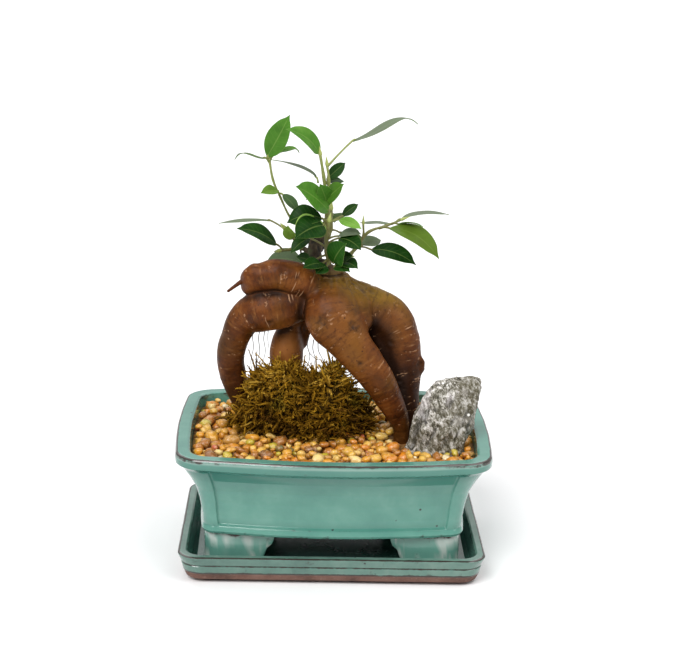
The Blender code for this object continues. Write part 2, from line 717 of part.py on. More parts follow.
def make_roots(material):
    """All the roots, grown together: swollen tubes joined, smoothed and cut at crown and feet."""
    points, faces = [], []
    runs = [UPPER_LEFT_ROOT, LOWER_LEFT_ROOT, MIDDLE_ROOT, FRONT_ROOT, RIGHT_ROOT, INNER_FLANK]
    runs += [NECK, SHOULDER]
    for knob in KNOBS:
        x, y, z, radius = knob
        runs.append([(x, y, z - 0.5 * radius, radius), (x, y, z + 0.5 * radius, radius)])
    for run in runs:
        more, their_faces = tube(run, 14, 3, rounded=True)
        faces += [tuple(len(points) + k for k in face) for face in their_faces]
        points += list(more)
    roots = make_object("roots", points, faces, material)
    skin = roots.modifiers.new("skin", "REMESH")
    skin.mode = "VOXEL"
    skin.voxel_size = ROOT_VOXEL * MM
    skin.adaptivity = 0.0
    melt = roots.modifiers.new("melt", "SMOOTH")
    melt.factor = 0.5
    melt.iterations = 3
    apply_modifiers(roots)
    fewer = roots.modifiers.new("fewer", "DECIMATE")
    roots.data.calc_loop_triangles()
    fewer.ratio = ROOT_TRIANGLES / len(roots.data.loop_triangles)
    apply_modifiers(roots)
    above = prism(circle(*CROWN, CROWN_CUT_RADIUS, 20), CROWN_TOP, CROWN_TOP + CROWN_CUT_RADIUS)
    below = slab(0, FOOT_HOLE_BOTTOM + GAP)
    boolean(roots, [make_object("rootlet", *tube(ROOTLET, 6, 1, rounded=True))], "UNION")
    boolean(roots, [above, below], "DIFFERENCE")
    keep_largest_body(roots)
    triangulate(roots)
    roots.data.materials.clear()
    roots.data.materials.append(material)
    smooth(roots, 60)
    return roots


def surface_tree(obj):
    """A search tree of the object's surface, in millimetres."""
    mesh = obj.data
    points = [v.co / MM for v in mesh.vertices]
    return BVHTree.FromPolygons(points, [tuple(p.vertices) for p in mesh.polygons])


def clear_of(tree, point, distance):
    """True where the point lies outside the surface and at least distance from it."""
    place, normal, _, away = tree.find_nearest(Vector(point))
    return away >= distance and (Vector(point) - place).dot(normal) > 0


def inside_outline(point, outline):
    x, y = point
    inside = False
    for (ax, ay), (bx, by) in zip(outline, outline[1:] + outline[:1]):
        if (ay > y) != (by > y) and x < (bx - ax) * (y - ay) / (by - ay) + ax:
            inside = not inside
    return inside


def distance_to_outline(point, outline):
    best = 1e9
    p = np.array(point)
    for a, b in zip(outline, outline[1:] + outline[:1]):
        a, b = np.array(a), np.array(b)
        t = np.clip(np.dot(p - a, b - a) / max(np.dot(b - a, b - a), 1e-9), 0, 1)
        best = min(best, float(np.linalg.norm(p - a - t * (b - a))))
    return best


def moss_outline(grow=0.0):
    """Footprint of the moss: an oval with an uneven edge."""
    outline = []
    for k in range(MOSS_OUTLINE_STEPS):
        t = 2 * math.pi * k / MOSS_OUTLINE_STEPS
        wave = 1.0 + 0.06 * math.sin(3 * t + 0.6) + 0.04 * math.sin(5 * t)
        outline.append((MOSS_CENTRE[0] + (MOSS_HALF_X * wave + grow) * math.cos(t),
                        MOSS_CENTRE[1] + (MOSS_HALF_Y * wave + grow) * math.sin(t)))
    return outline


def make_gravel(material, roots_tree):
    """A bed with pebbles raised from it: every pebble is a low ring and a smaller high one."""
    rng = random.Random(7)
    bed_bottom = SOIL_TOP + GAP
    border = pot_ring(max(inner_inset(bed_bottom), inner_inset(BED_TOP)) + GAP + 0.1)
    border = [p for k, p in enumerate(border) if distance_from_last(border, k) > 0.4]
    holes = [oval(a, b, r + HOLE_CLEARANCE) for a, b, r in FOOT_HOLES]
    holes.append(grown(STONE_FOOT, GAP + 0.1))
    bare = holes[:-1] + [moss_outline(1.0), grown(STONE_FOOT, 2.0)]
    points = [Vector(p) for p in border]
    heights = [BED_TOP] * len(border)
    edges = loop_edges(0, len(border))
    for hole in holes:
        edges += loop_edges(len(points), len(hole))
        points += [Vector(p) for p in hole]
        heights += [BED_TOP] * len(hole)
    rim_count = len(points)
    placed = []
    rows = int(2 * RIM_HALF_Y / PEBBLE_ROW_PITCH) + 2
    columns = int(2 * RIM_HALF_X / PEBBLE_PITCH) + 2
    for row in range(-rows // 2, rows // 2 + 1):
        for column in range(-columns // 2, columns // 2 + 1):
            x = (column + 0.5 * (row % 2)) * PEBBLE_PITCH + rng.uniform(-PEBBLE_SHIFT, PEBBLE_SHIFT)
            y = row * PEBBLE_ROW_PITCH + rng.uniform(-PEBBLE_SHIFT, PEBBLE_SHIFT)
            radius = PEBBLE_RADIUS * rng.uniform(0.84, 1.0)
            lift = rng.uniform(PEBBLE_LIFT_LEAST, PEBBLE_LIFT_MOST)
            lean = (rng.uniform(-0.6, 0.6), rng.uniform(-0.6, 0.6))
            turn = rng.uniform(0, 1)
            shape = [rng.uniform(0.86, 1.0) for _ in range(6)]
            room = radius + PEBBLE_ROOM
            if not inside_outline((x, y), border) or distance_to_outline((x, y), border) < room:
                continue
            if any(inside_outline((x, y), o) or distance_to_outline((x, y), o) < room for o in bare):
                continue
            reach = math.hypot(radius, lift)
            if not clear_of(roots_tree, (x, y, BED_TOP), reach + PEBBLE_ROOM):
                continue
            radius = min([radius] + [math.dist((x, y), p[:2]) - p[2] - PEBBLE_ROOM for p in placed])
            if radius < PEBBLE_LEAST_RADIUS:
                continue
            placed.append((x, y, radius))
            levels = ((6, 1.0, BED_TOP), (6, 0.84, BED_TOP + 0.6 * lift), (3, 0.42, BED_TOP + lift))
            for count, scale, z in levels:
                edges += loop_edges(len(points), count)
                for k in range(count):
                    t = 2 * math.pi * (k * 6 / count + turn) / 6
                    r = radius * scale * shape[k]
                    shift = (z - BED_TOP) / lift
                    points.append(Vector((x + r * math.cos(t) + lean[0] * shift * 0.5,
                                          y + r * math.sin(t) + lean[1] * shift * 0.5)))
                    heights.append(z + 0.12 * lean[0] * r * math.cos(t) * shift)
    flat, _, triangles, _, _, _ = delaunay_2d_cdt(points, edges, [], 0, 0.00001)
    kept = []
    for triangle in triangles:
        middle = sum((flat[k] for k in triangle), Vector((0, 0))) / 3
        if inside_outline(middle, border) and not any(inside_outline(middle, h) for h in holes):
            kept.append(tuple(triangle))
    solid = [(p.x, p.y, z) for p, z in zip(flat, heights)]
    under, _, floor, _, _, _ = delaunay_2d_cdt(points[:rim_count], edges[:rim_count], [], 0, 0.00001)
    base = len(solid)
    solid += [(p.x, p.y, bed_bottom) for p in under]
    faces = list(kept)
    for triangle in floor:
        middle = sum((under[k] for k in triangle), Vector((0, 0))) / 3
        if inside_outline(middle, border) and not any(inside_outline(middle, h) for h in holes):
            faces.append(tuple(base + k for k in reversed(triangle)))
    for a, b in edges[:rim_count]:
        faces += [(a, b, base + b), (a, base + b, base + a)]
    return make_object("gravel", solid, faces, material)


def distance_from_last(ring, k):
    return math.dist(ring[k], ring[k - 1])


def loop_edges(first, count):
    return [(first + k, first + (k + 1) % count) for k in range(count)]


def grown(outline, distance):
    """The outline pushed out from its middle by about distance."""
    cx = sum(p[0] for p in outline) / len(outline)
    cy = sum(p[1] for p in outline) / len(outline)
    out = []
    for x, y in outline:
        reach = math.hypot(x - cx, y - cy)
        share = (reach + distance * 1.2) / reach
        out.append((cx + (x - cx) * share, cy + (y - cy) * share))
    return out


def make_stone(material):
    """A schist lump: one outline carried up through seven levels, with chipped points."""
    rng = random.Random(3)
    cx = sum(p[0] for p in STONE_FOOT) / len(STONE_FOOT)
    cy = sum(p[1] for p in STONE_FOOT) / len(STONE_FOOT)
    rings = []
    for level, (z, shift_x, shift_y, wide, deep) in enumerate(STONE_LEVELS):
        ring = []
        for x, y in STONE_FOOT:
            chip = 0.0 if level < 2 else rng.uniform(-1.4, 1.2)
            ring.append((cx + shift_x + (x - cx) * wide + chip,
                         cy + shift_y + (y - cy) * deep + 0.6 * chip))
        rings.append((z, ring))
    points, faces = loft(rings)
    for k in range(2 * len(STONE_FOOT), len(points)):
        x, y, z = points[k]
        points[k] = (x, y, z + rng.uniform(-1.0, 1.0) + 0.06 * (x - cx))
    stone = make_object("stone", points, faces, material)
    triangulate(stone)
    return stone


def moss_height(x, y):
    """Height of the moss mound over its bed: a dome with lumps."""
    dx = (x - MOSS_CENTRE[0]) / MOSS_HALF_X
    dy = (y - MOSS_CENTRE[1]) / MOSS_HALF_Y
    inside = max(0.0, 1.0 - dx * dx - dy * dy)
    lumps = 1.0 + 0.05 * math.sin(0.21 * x + 1.0) + 0.05 * math.sin(0.37 * x + 0.3 * y)
    lean = 1.0 - 0.16 * dx
    return MOSS_HEIGHT * lumps * lean * inside**0.3


def make_moss(material, roots_tree):
    """A mound under the roots, with three-sided tufts standing out of it."""
    rng = random.Random(11)
    base = BED_TOP + GAP
    outline = moss_outline()
    count = len(outline)
    rings = []
    for share in MOSS_SHARES:
        ring = []
        for x, y in outline:
            px = MOSS_CENTRE[0] + (x - MOSS_CENTRE[0]) * share
            py = MOSS_CENTRE[1] + (y - MOSS_CENTRE[1]) * share
            height = 1.5 + moss_height(px, py)
            hit = roots_tree.ray_cast(Vector((px, py, base)), Vector((0, 0, 1)))[0]
            if hit is not None:
                height = min(height, hit.z - base - MOSS_UNDER_ROOT)
            ring.append((px, py, base + max(1.2, height)))
        rings.append(ring)
    points = [(x, y, base) for x, y in outline] + [p for ring in rings for p in ring]
    faces = [tuple(reversed(range(count)))]
    for row in range(len(rings)):
        for k in range(count):
            a, b = row * count + k, row * count + (k + 1) % count
            faces += [(a, b, b + count), (a, b + count, a + count)]
    last = len(points) - count
    points.append((MOSS_CENTRE[0], MOSS_CENTRE[1], sum(p[2] for p in rings[-1]) / count + 0.8))
    faces += [(last + k, last + (k + 1) % count, len(points) - 1) for k in range(count)]
    moss = make_object("moss", points, faces, material)
    core = surface_tree(moss)
    tufts = []
    tries = 0
    while len(tufts) < TUFTS and tries < TUFT_TRIES:
        tries += 1
        angle = rng.uniform(0, 2 * math.pi)
        share = math.sqrt(rng.uniform(0.05, 1.0))
        x = MOSS_CENTRE[0] + MOSS_HALF_X * share * math.cos(angle)
        y = MOSS_CENTRE[1] + MOSS_HALF_Y * share * math.sin(angle)
        top = core.ray_cast(Vector((x, y, 200)), Vector((0, 0, -1)))
        if top[0] is None or top[0].z < base + 3:
            continue
        out = top[1] + Vector((rng.uniform(-0.5, 0.5), rng.uniform(-0.5, 0.5), rng.uniform(0.0, 0.7)))
        out.normalize()
        length = rng.uniform(*TUFT_LENGTH)
        tip = top[0] + out * length
        if tip.z < TUFT_LOWEST_TIP:
            continue
        steps = [top[0] + out * length * k / 3 for k in range(4)]
        if not all(clear_of(roots_tree, p, TUFT_ROOT_ROOM) for p in steps):
            continue
        if not inside_outline((tip.x, tip.y), pot_ring(TUFT_RIM_INSET)):
            continue
        tufts.append(make_tuft(top[0] - out * TUFT_RADIUS[1], tip, rng.uniform(*TUFT_RADIUS)))
    boolean(moss, tufts, "UNION")
    keep_largest_body(moss)
    triangulate(moss)
    return moss


def make_tuft(start, tip, radius):
    """A three-sided spike from start to tip."""
    along = (tip - start).normalized()
    side = along.orthogonal().normalized()
    other = along.cross(side)
    points = []
    for k in range(3):
        t = 2 * math.pi * k / 3
        points.append(start + radius * (math.cos(t) * side + math.sin(t) * other))
    points.append(tip)
    return make_object("tuft", points, [(0, 1, 2), (0, 1, 3), (1, 2, 3), (2, 0, 3)])


def make_trunk(material):
    collar = make_object("trunk", *tube(TRUNK_COLLAR, 14, 1), material)
    branches = [RIGHT_BRANCH, MIDDLE_BRANCH, LEFT_BRANCH, LOW_LEFT_BRANCH, FRONT_BRANCH, BACK_BRANCH]
    parts = [make_object("old_trunk", *tube(TRUNK, 10, 1))]
    parts += [make_object("branch", *tube(run, 6, 1)) for run in branches]
    boolean(collar, parts, "UNION")
    boolean(collar, [slab(0, TRUNK_BASE)], "DIFFERENCE")
    triangulate(collar)
    smooth(collar, 50)
    return collar


def half_width(width, t):
    """Half width of a blade at t along it: a power of a sine that ends in a drawn-out tip."""
    blade = 0.5 * width * math.sin(math.pi * t**0.9) ** 0.75 if 0 < t < 1 else 0.0
    return max(blade, STALK_WIDTH - 0.4 * t)


def make_leaf(start, base, tip, width, facing, fold, arch):
    """A leaf in one piece with its stalk: six-point sections along stalk and midrib.

    The midrib is a parabola over the line from base to tip, and the halves fold up along it."""
    start, base, tip, facing = Vector(start), Vector(base), Vector(tip), Vector(facing)
    along = (tip - base).normalized()
    rise = (facing - along * facing.dot(along)).normalized() * arch
    lift = math.tan(math.radians(fold))
    rows = [(start, STALK_WIDTH, STALK_THICKNESS, 0.0)]
    rows.append(((start + base) / 2 + Vector((0, 0, 0.5)), STALK_WIDTH, STALK_THICKNESS, 0.0))
    for t in BLADE_MARKS:
        thick = STALK_THICKNESS if t == 0 else BLADE_THICKNESS
        rows.append((base.lerp(tip, t) + rise * 4 * t * (1 - t), half_width(width, t), thick, lift))
    points = []
    for k, (middle, half, thick, up_share) in enumerate(rows):
        before, after = rows[max(k - 1, 0)][0], rows[min(k + 1, len(rows) - 1)][0]
        tangent = (after - before).normalized()
        up = (facing - tangent * facing.dot(tangent)).normalized()
        side = tangent.cross(up)
        for across, above in ((-1, 1), (0, 1), (1, 1), (1, -1), (0, -1), (-1, -1)):
            place = middle + side * half * across + up * half * abs(across) * up_share
            points.append(place + up * above * thick / 2)
    faces = [(0, 1, 4, 5), (1, 2, 3, 4)]
    last = len(points) - 6
    faces += [(last, last + 1, last + 4, last + 5), (last + 1, last + 2, last + 3, last + 4)]
    for row in range(len(rows) - 1):
        a = 6 * row
        faces += [(a, a + 1, a + 7), (a, a + 7, a + 6), (a + 1, a + 2, a + 7), (a + 2, a + 8, a + 7)]
        faces += [(a + 5, a + 4, a + 10), (a + 5, a + 10, a + 11)]
        faces += [(a + 4, a + 3, a + 10), (a + 3, a + 9, a + 10)]
        faces += [(a + 2, a + 3, a + 9, a + 8), (a + 5, a, a + 6, a + 11)]
    return make_object("leaf", points, faces)


def grow_from(branch, run):
    """A stem that carries on straight from the end of its branch, a gap beyond it."""
    end, before = Vector(branch[-1][:3]), Vector(branch[-2][:3])
    way = (end - before).normalized()
    radius = branch[-1][3]
    return [(*(end + way * GAP), radius), (*(end + way * 1.5), radius), *run]


def make_shoot(name, branch, stems, leaves, material):
    """One leafy shoot: its stems and its leaves, joined into one body."""
    shoot = make_object(name, *tube(grow_from(branch, stems[0]), 6, 1), material)
    parts = [make_object("stem", *tube(run, 5, 1)) for run in stems[1:]]
    parts += [make_leaf(*leaf) for leaf in leaves]
    boolean(shoot, parts, "UNION")
    keep_largest_body(shoot)
    triangulate(shoot)
    return shoot


def build():
    clear_scene()
    glaze = make_material("jade_glaze", (0.13, 0.34, 0.27), 0.12)
    make_saucer(glaze)
    make_pot(glaze)
    make_drain_meshes(make_material("drain_plastic", (0.02, 0.02, 0.02), 0.5))
    make_soil(make_material("potting_mix", (0.05, 0.03, 0.02), 0.95))
    roots = make_roots(make_material("root_bark", (0.25, 0.10, 0.05), 0.5))
    tree = surface_tree(roots)
    make_gravel(make_material("pea_gravel", (0.62, 0.38, 0.16), 0.5), tree)
    make_stone(make_material("schist", (0.28, 0.28, 0.27), 0.7))
    make_moss(make_material("dry_moss", (0.20, 0.15, 0.03), 0.9), tree)
    make_trunk(make_material("woody_bark", (0.08, 0.05, 0.03), 0.8))
    foliage = make_material("ficus_leaf", (0.05, 0.17, 0.03), 0.35)
    for name, (branch, stems, leaves) in SHOOTS.items():
        make_shoot(name, branch, stems, leaves, foliage)


build()
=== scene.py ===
# %% [markdown]
# A ginseng ficus in a glazed bonsai pot
#
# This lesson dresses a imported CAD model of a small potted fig. The CAD solids say where every
# piece is and how big it is. Each cell here builds one finer piece in the same place, or gives a
# better finish to a solid that is already right. Lengths are typed in millimetres and turn into
# metres when a mesh is made. +X is right, -Y is the front and +Z is up.

# %% Load the frame
import math

import bpy
import numpy as np
from mathutils import Matrix, Vector


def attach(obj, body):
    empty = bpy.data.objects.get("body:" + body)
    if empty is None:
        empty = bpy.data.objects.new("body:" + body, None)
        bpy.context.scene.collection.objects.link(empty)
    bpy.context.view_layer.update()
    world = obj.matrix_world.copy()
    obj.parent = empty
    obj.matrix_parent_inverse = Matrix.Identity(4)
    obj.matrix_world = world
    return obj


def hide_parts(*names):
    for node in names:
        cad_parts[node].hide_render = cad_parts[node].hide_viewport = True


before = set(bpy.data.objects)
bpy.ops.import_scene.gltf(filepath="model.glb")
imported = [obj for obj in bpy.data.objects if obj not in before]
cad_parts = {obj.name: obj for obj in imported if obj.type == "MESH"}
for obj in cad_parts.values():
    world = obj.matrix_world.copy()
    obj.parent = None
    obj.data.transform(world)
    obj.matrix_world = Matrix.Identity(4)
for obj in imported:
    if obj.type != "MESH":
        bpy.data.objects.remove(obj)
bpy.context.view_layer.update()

# %% [markdown]
# Meshes from arrays
#
# Nearly every piece below is a grid of points: rows along the piece and columns across or round
# it. Blender can add such grids as primitives, but then the shape has to be pushed about
# afterwards. Working the points out with numpy first keeps the formula of the shape in one place.

# %% Grid faces and mesh objects
MM = 0.001


def grid_faces(rows, columns, wrap=False, first=0):
    """Quads of a grid whose point number is row * columns + column, counted from first.

    With wrap the last column joins the first one, as on a tube."""
    across = np.arange(columns if wrap else columns - 1)
    a = (np.arange(rows - 1)[:, None] * columns + across).ravel() + first
    b = (np.arange(rows - 1)[:, None] * columns + (across + 1) % columns).ravel() + first
    return np.stack([a, b, b + columns, a + columns], axis=1)


def loft_faces(rows, columns, first=0):
    """Faces of a closed loft: rings joined up one after another, with a cap on both end rings."""
    rim = np.arange(columns)[None] + first
    return [grid_faces(rows, columns, True, first), rim[:, ::-1], rim + (rows - 1) * columns]


def copied_faces(faces, copies, size):
    """The same faces once more for every copy of a shape of size points."""
    return (faces[None] + (np.arange(copies) * size)[:, None, None]).reshape(-1, faces.shape[1])


def full_turn(count):
    """Angles of count even steps round a circle."""
    return np.arange(count) * 2 * math.pi / count


def unit(vectors):
    """The same directions at length 1."""
    return vectors / np.maximum(np.linalg.norm(vectors, axis=-1, keepdims=True), 1e-9)


def mesh_piece(name, points, faces, smooth=True):
    """A mesh object at the origin from points in millimetres and a list of face arrays."""
    mesh = bpy.data.meshes.new(name)
    rings = [row for group in faces for row in np.asarray(group).tolist()]
    mesh.from_pydata((np.asarray(points) * MM).tolist(), [], rings)
    mesh.validate()
    mesh.polygons.foreach_set("use_smooth", np.full(len(mesh.polygons), smooth))
    piece = bpy.data.objects.new(name, mesh)
    bpy.context.scene.collection.objects.link(piece)
    return piece


def finish_piece(piece, finishes, slot, *nodes):
    """Gives the piece its finishes, lets it ride on the root body and stand for CAD nodes."""
    for finish in finishes:
        piece.data.materials.append(finish)
    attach(piece, "root")
    if nodes:
        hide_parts(*nodes)
    triangles = sum(len(face.vertices) - 2 for face in piece.data.polygons)
    print(f"{piece.name}: {triangles} triangles")
    return piece


def paint(piece, **layers):
    """Stores named layers of one number for every point of the piece, for its finish to read."""
    for name, values in layers.items():
        layer = piece.data.attributes.new(name, "FLOAT", "POINT")
        layer.data.foreach_set("value", np.ascontiguousarray(values, dtype=np.float32))


def map_piece(piece, name, uv):
    """Stores a UV map, one row for every face corner of the piece."""
    layer = piece.data.uv_layers.new(name=name)
    layer.data.foreach_set("uv", uv.astype(np.float32).ravel())


def read_mesh(elements, name, width=1, kind=float):
    """One property of a mesh's points or face corners as an array with width columns."""
    values = np.empty(len(elements) * width, kind)
    elements.foreach_get(name, values)
    return values.reshape(-1, width)


def modified_mesh(piece):
    """A new mesh that has the piece's modifiers applied."""
    bpy.context.view_layer.update()
    graph = bpy.context.evaluated_depsgraph_get()
    return bpy.data.meshes.new_from_object(piece.evaluated_get(graph), depsgraph=graph)


# %% [markdown]
# Uneven surfaces
#
# Clay, bark, stone and leaves are never quite even. Blender's noise textures live in materials,
# so the meshes use a small noise of their own: random numbers on a lattice, with smooth steps
# in between. It takes whole arrays of points and gives the same numbers on every run.

# %% A lattice noise for meshes
NOISE_CELLS = 4096


def clouds(points, size, seed=0):
    """Smooth noise from -1 to 1: random numbers size mm apart, eased along all three axes."""
    table = np.random.default_rng(seed).uniform(-1, 1, NOISE_CELLS)
    place = np.asarray(points, float) / size
    cell = np.floor(place).astype(np.int64)
    part = place - cell
    ease = part * part * (3 - 2 * part)
    total = np.zeros(len(place))
    for dx in (0, 1):
        for dy in (0, 1):
            for dz in (0, 1):
                key = (cell[:, 0] + dx) * 73856093 ^ (cell[:, 1] + dy) * 19349663
                key ^= (cell[:, 2] + dz) * 83492791
                weight = np.where(dx, ease[:, 0], 1 - ease[:, 0])
                weight = weight * np.where(dy, ease[:, 1], 1 - ease[:, 1])
                weight = weight * np.where(dz, ease[:, 2], 1 - ease[:, 2])
                total += weight * table[key % NOISE_CELLS]
    return total


def rough_clouds(points, size, seed=0, layers=3):
    """Several layers of clouds, each half as large and half as strong as the one before."""
    return sum(clouds(points, size / 2**k, seed + k) / 2**k for k in range(layers))


def soft_step(value, low, high):
    """0 below low, 1 above high and an even S curve between them."""
    part = np.clip((value - low) / (high - low), 0, 1)
    return part * part * (3 - 2 * part)


def bell(value, middle, width):
    """exp(-((value - middle) / width)^2): 1 at the middle and nearly 0 two widths away."""
    return np.exp(-(((value - middle) / width) ** 2))


# %% [markdown]
# Finishes from nodes
#
# A finish is a Principled shader with textures in front of it. The textures read Object
# coordinates, in metres, so a pattern has its real size: a noise scale of 400 repeats about every
# 2.5 mm. Each method below adds one node and plugs outputs or plain values into it.

# %% Finishes


class Finish:
    """A material whose methods add one shader node each and give back that node's output."""

    def __init__(self, name, **sockets):
        self.material = bpy.data.materials.new(name)
        self.material.use_nodes = True
        self.tree = self.material.node_tree
        self.shader = self.tree.nodes["Principled BSDF"]
        self.feed(**sockets)

    def plug(self, value, socket):
        """Links another node's output to the socket, or sets the socket to a plain value."""
        if isinstance(value, bpy.types.NodeSocket):
            self.tree.links.new(value, socket)
        else:
            socket.default_value = value

    def feed(self, **sockets):
        """Plugs into the Principled shader's own sockets, written with _ for a space."""
        for socket, value in sockets.items():
            self.plug(value, self.shader.inputs[socket.replace("_", " ")])

    def add(self, kind, inputs=None, **settings):
        """Adds a shader node with its settings, and puts a value or a link into each input."""
        node = self.tree.nodes.new("ShaderNode" + kind)
        for key, value in settings.items():
            setattr(node, key, value)
        for key, value in (inputs or {}).items():
            self.plug(value, node.inputs[key])
        return node

    def scaled(self, where, scale):
        """A place with each axis multiplied by its own scale."""
        return self.add("Mapping", {"Vector": where, "Scale": scale}).outputs["Vector"]

    def place(self, stretch=(1, 1, 1), turn=(0, 0, 0)):
        """Object coordinates, stretched and turned in degrees."""
        where = self.add("TexCoord").outputs["Object"]
        if stretch == (1, 1, 1) and turn == (0, 0, 0):
            return where
        turn = tuple(math.radians(a) for a in turn)
        turned = self.add("Mapping", {"Vector": where, "Rotation": turn}).outputs["Vector"]
        return self.scaled(turned, stretch)

    def uv(self, name):
        """The place on a named UV map."""
        return self.add("UVMap", uv_map=name).outputs["UV"]

    def painted(self, name):
        """The number that paint() stored on the piece."""
        return self.add("Attribute", attribute_name=name).outputs["Fac"]

    def part_of(self, where, axis):
        """One coordinate of a vector, by its letter."""
        return self.add("SeparateXYZ", {"Vector": where}).outputs[axis]

    def noise(self, where, scale, detail=3.0, roughness=0.55, warp=0.0):
        """A noise texture's value, from 0 to 1."""
        inputs = {"Vector": where, "Scale": scale, "Detail": detail}
        inputs.update({"Roughness": roughness, "Distortion": warp})
        return self.add("TexNoise", inputs).outputs["Fac"]

    def cells(self, where, scale):
        """Distance to the nearest of scattered points, for specks."""
        return self.add("TexVoronoi", {"Vector": where, "Scale": scale}).outputs["Distance"]

    def ramp(self, value, *stops):
        """Maps a value to numbers or colours through stops of (position, number or colour)."""
        node = self.add("ValToRGB", {"Fac": value})
        scale = node.color_ramp.elements
        scale[0].position, scale[1].position = stops[0][0], stops[-1][0]
        for position, _ in stops[1:-1]:
            scale.new(position)
        for position, shade in stops:
            mark = next(m for m in scale if abs(m.position - position) < 1e-4)
            mark.color = (*((shade,) * 3 if isinstance(shade, (int, float)) else shade), 1)
        return node.outputs["Color"]

    def mix(self, share, first, second):
        """Mixes two colours, the second by share."""
        node = self.add("Mix", {"Factor": share}, data_type="RGBA", blend_type="MIX")
        for value, socket in ((first, node.inputs[6]), (second, node.inputs[7])):
            self.plug((*value, 1) if isinstance(value, tuple) else value, socket)
        return node.outputs[2]

    def sums(self, kind, first, second=0.0, third=0.0):
        """One Math node: kind of first, second and third."""
        node = self.add("Math", operation=kind)
        for value, socket in zip((first, second, third), node.inputs):
            self.plug(value, socket)
        return node.outputs[0]

    def times(self, first, second):
        return self.sums("MULTIPLY", first, second)

    def plus(self, first, second):
        return self.sums("ADD", first, second)

    def minus(self, first, second):
        return self.sums("SUBTRACT", first, second)

    def band(self, value, low, high):
        """Maps low..high to 0..1 with soft ends and holds beyond them. low may lie above high."""
        inputs = {"Value": value, "From Min": low, "From Max": high}
        return self.add("MapRange", inputs, interpolation_type="SMOOTHSTEP").outputs["Result"]

    def done(self, body, *layers):
        """The material, with its colour and a chain of (height, strength, depth in mm) bumps."""
        self.feed(Base_Color=body)
        normal = None
        for height, strength, depth in layers:
            inputs = {"Height": height, "Strength": strength, "Distance": depth * MM}
            if normal:
                inputs["Normal"] = normal
            normal = self.add("Bump", inputs).outputs["Normal"]
        if normal:
            self.feed(Normal=normal)
        return self.material


# %% [markdown]
# Camera
#
# The camera stands about a metre in front of the pot and looks down a little, as in the
# photograph. Its place, turn and focal length were worked out from the rims of pot and saucer,
# which are rectangles of known size. The focal length in image widths doesn't depend on how many
# pixels the picture has.

# %% Camera
CAMERA_PLACE = (-22.2, -952.4, 404.6)
CAMERA_YAW = -0.02491
CAMERA_PITCH = 0.27386
CAMERA_ROLL = 0.02403
FOCAL_IN_WIDTHS = 1714.4 / 676
SENSOR_WIDTH = 36.0


def aim_camera():
    """A camera whose axes are worked out from yaw, pitch and roll, and set as its matrix."""
    cy, sy = math.cos(CAMERA_YAW), math.sin(CAMERA_YAW)
    cp, sp = math.cos(CAMERA_PITCH), math.sin(CAMERA_PITCH)
    cr, sr = math.cos(CAMERA_ROLL), math.sin(CAMERA_ROLL)
    ahead = np.array([-sy * cp, cy * cp, -sp])
    right = np.array([cy, sy, 0.0])
    up = np.cross(right, ahead)
    axes = np.stack([cr * right + sr * up, -sr * right + cr * up, -ahead], axis=1)
    data = bpy.data.cameras.new("camera")
    data.sensor_fit = "HORIZONTAL"
    data.sensor_width = SENSOR_WIDTH
    data.lens = FOCAL_IN_WIDTHS * SENSOR_WIDTH
    data.clip_start = 0.05
    camera = bpy.data.objects.new("camera", data)
    bpy.context.scene.collection.objects.link(camera)
    matrix = np.eye(4)
    matrix[:3, :3] = axes
    matrix[:3, 3] = np.array(CAMERA_PLACE) * MM
    camera.matrix_world = Matrix(matrix)
    bpy.context.scene.camera = camera
    return camera


camera = aim_camera()
print("lens in mm:", round(camera.data.lens, 2))

# %% [markdown]
# Floor and light
#
# The object stands on a plain white floor in even studio light. Two broad suns and a white world
# do this: a sun lights the whole floor equally, so the floor stays white up to the horizon, and
# its wide disc keeps the shadows soft. The floor is lit a little past white, which hides all but
# the shadow close under the saucer.

# %% Floor, suns and world
FLOOR_RADIUS = 6000.0
FLOOR_SHARES = (0.0, 0.02, 0.1, 0.4, 1.0)
FLOOR_STEPS = 48
SUNS = [
    # name, strength, width of its disc in degrees, direction that it shines along
    ("sun_front_left", 2.7, 36, (0.5, 0.8, -0.95)),
    ("sun_right", 1.5, 50, (-0.85, 0.4, -1.1)),
    ("sun_behind", 1.1, 70, (0.1, -0.6, -1.0)),
]
WORLD_LIGHT = 0.2
WORLD_SEEN = 1.05
WORLD_GLOSS = 0.5


def make_floor():
    """A disc: rings at shares of the radius, each with the same number of points."""
    turn = full_turn(FLOOR_STEPS)
    reach = FLOOR_RADIUS * np.array(FLOOR_SHARES[1:])[:, None]
    rings = np.stack([reach * np.cos(turn), reach * np.sin(turn), 0 * reach * turn],
                     axis=2).reshape(-1, 3)
    points = np.vstack([np.zeros((1, 3)), rings])
    k = np.arange(FLOOR_STEPS)
    middle = np.stack([np.zeros_like(k), 1 + k, 1 + (k + 1) % FLOOR_STEPS], axis=1)
    floor = mesh_piece("floor", points, [middle, grid_faces(4, FLOOR_STEPS, True, 1)[:, ::-1]],
                       False)
    paper = Finish("white_paper", Roughness=0.8, Specular_IOR_Level=0.2)
    paper.feed(Base_Color=(0.9, 0.9, 0.905, 1))
    floor.data.materials.append(paper.material)


def hang_sun(name, strength, width, along):
    """A sun whose own -Z axis points along the given direction."""
    data = bpy.data.lights.new(name, "SUN")
    data.energy = strength
    data.angle = math.radians(width)
    sun = bpy.data.objects.new(name, data)
    bpy.context.scene.collection.objects.link(sun)
    sun.rotation_mode = "QUATERNION"
    sun.rotation_quaternion = Vector(along).to_track_quat("-Z", "Y")


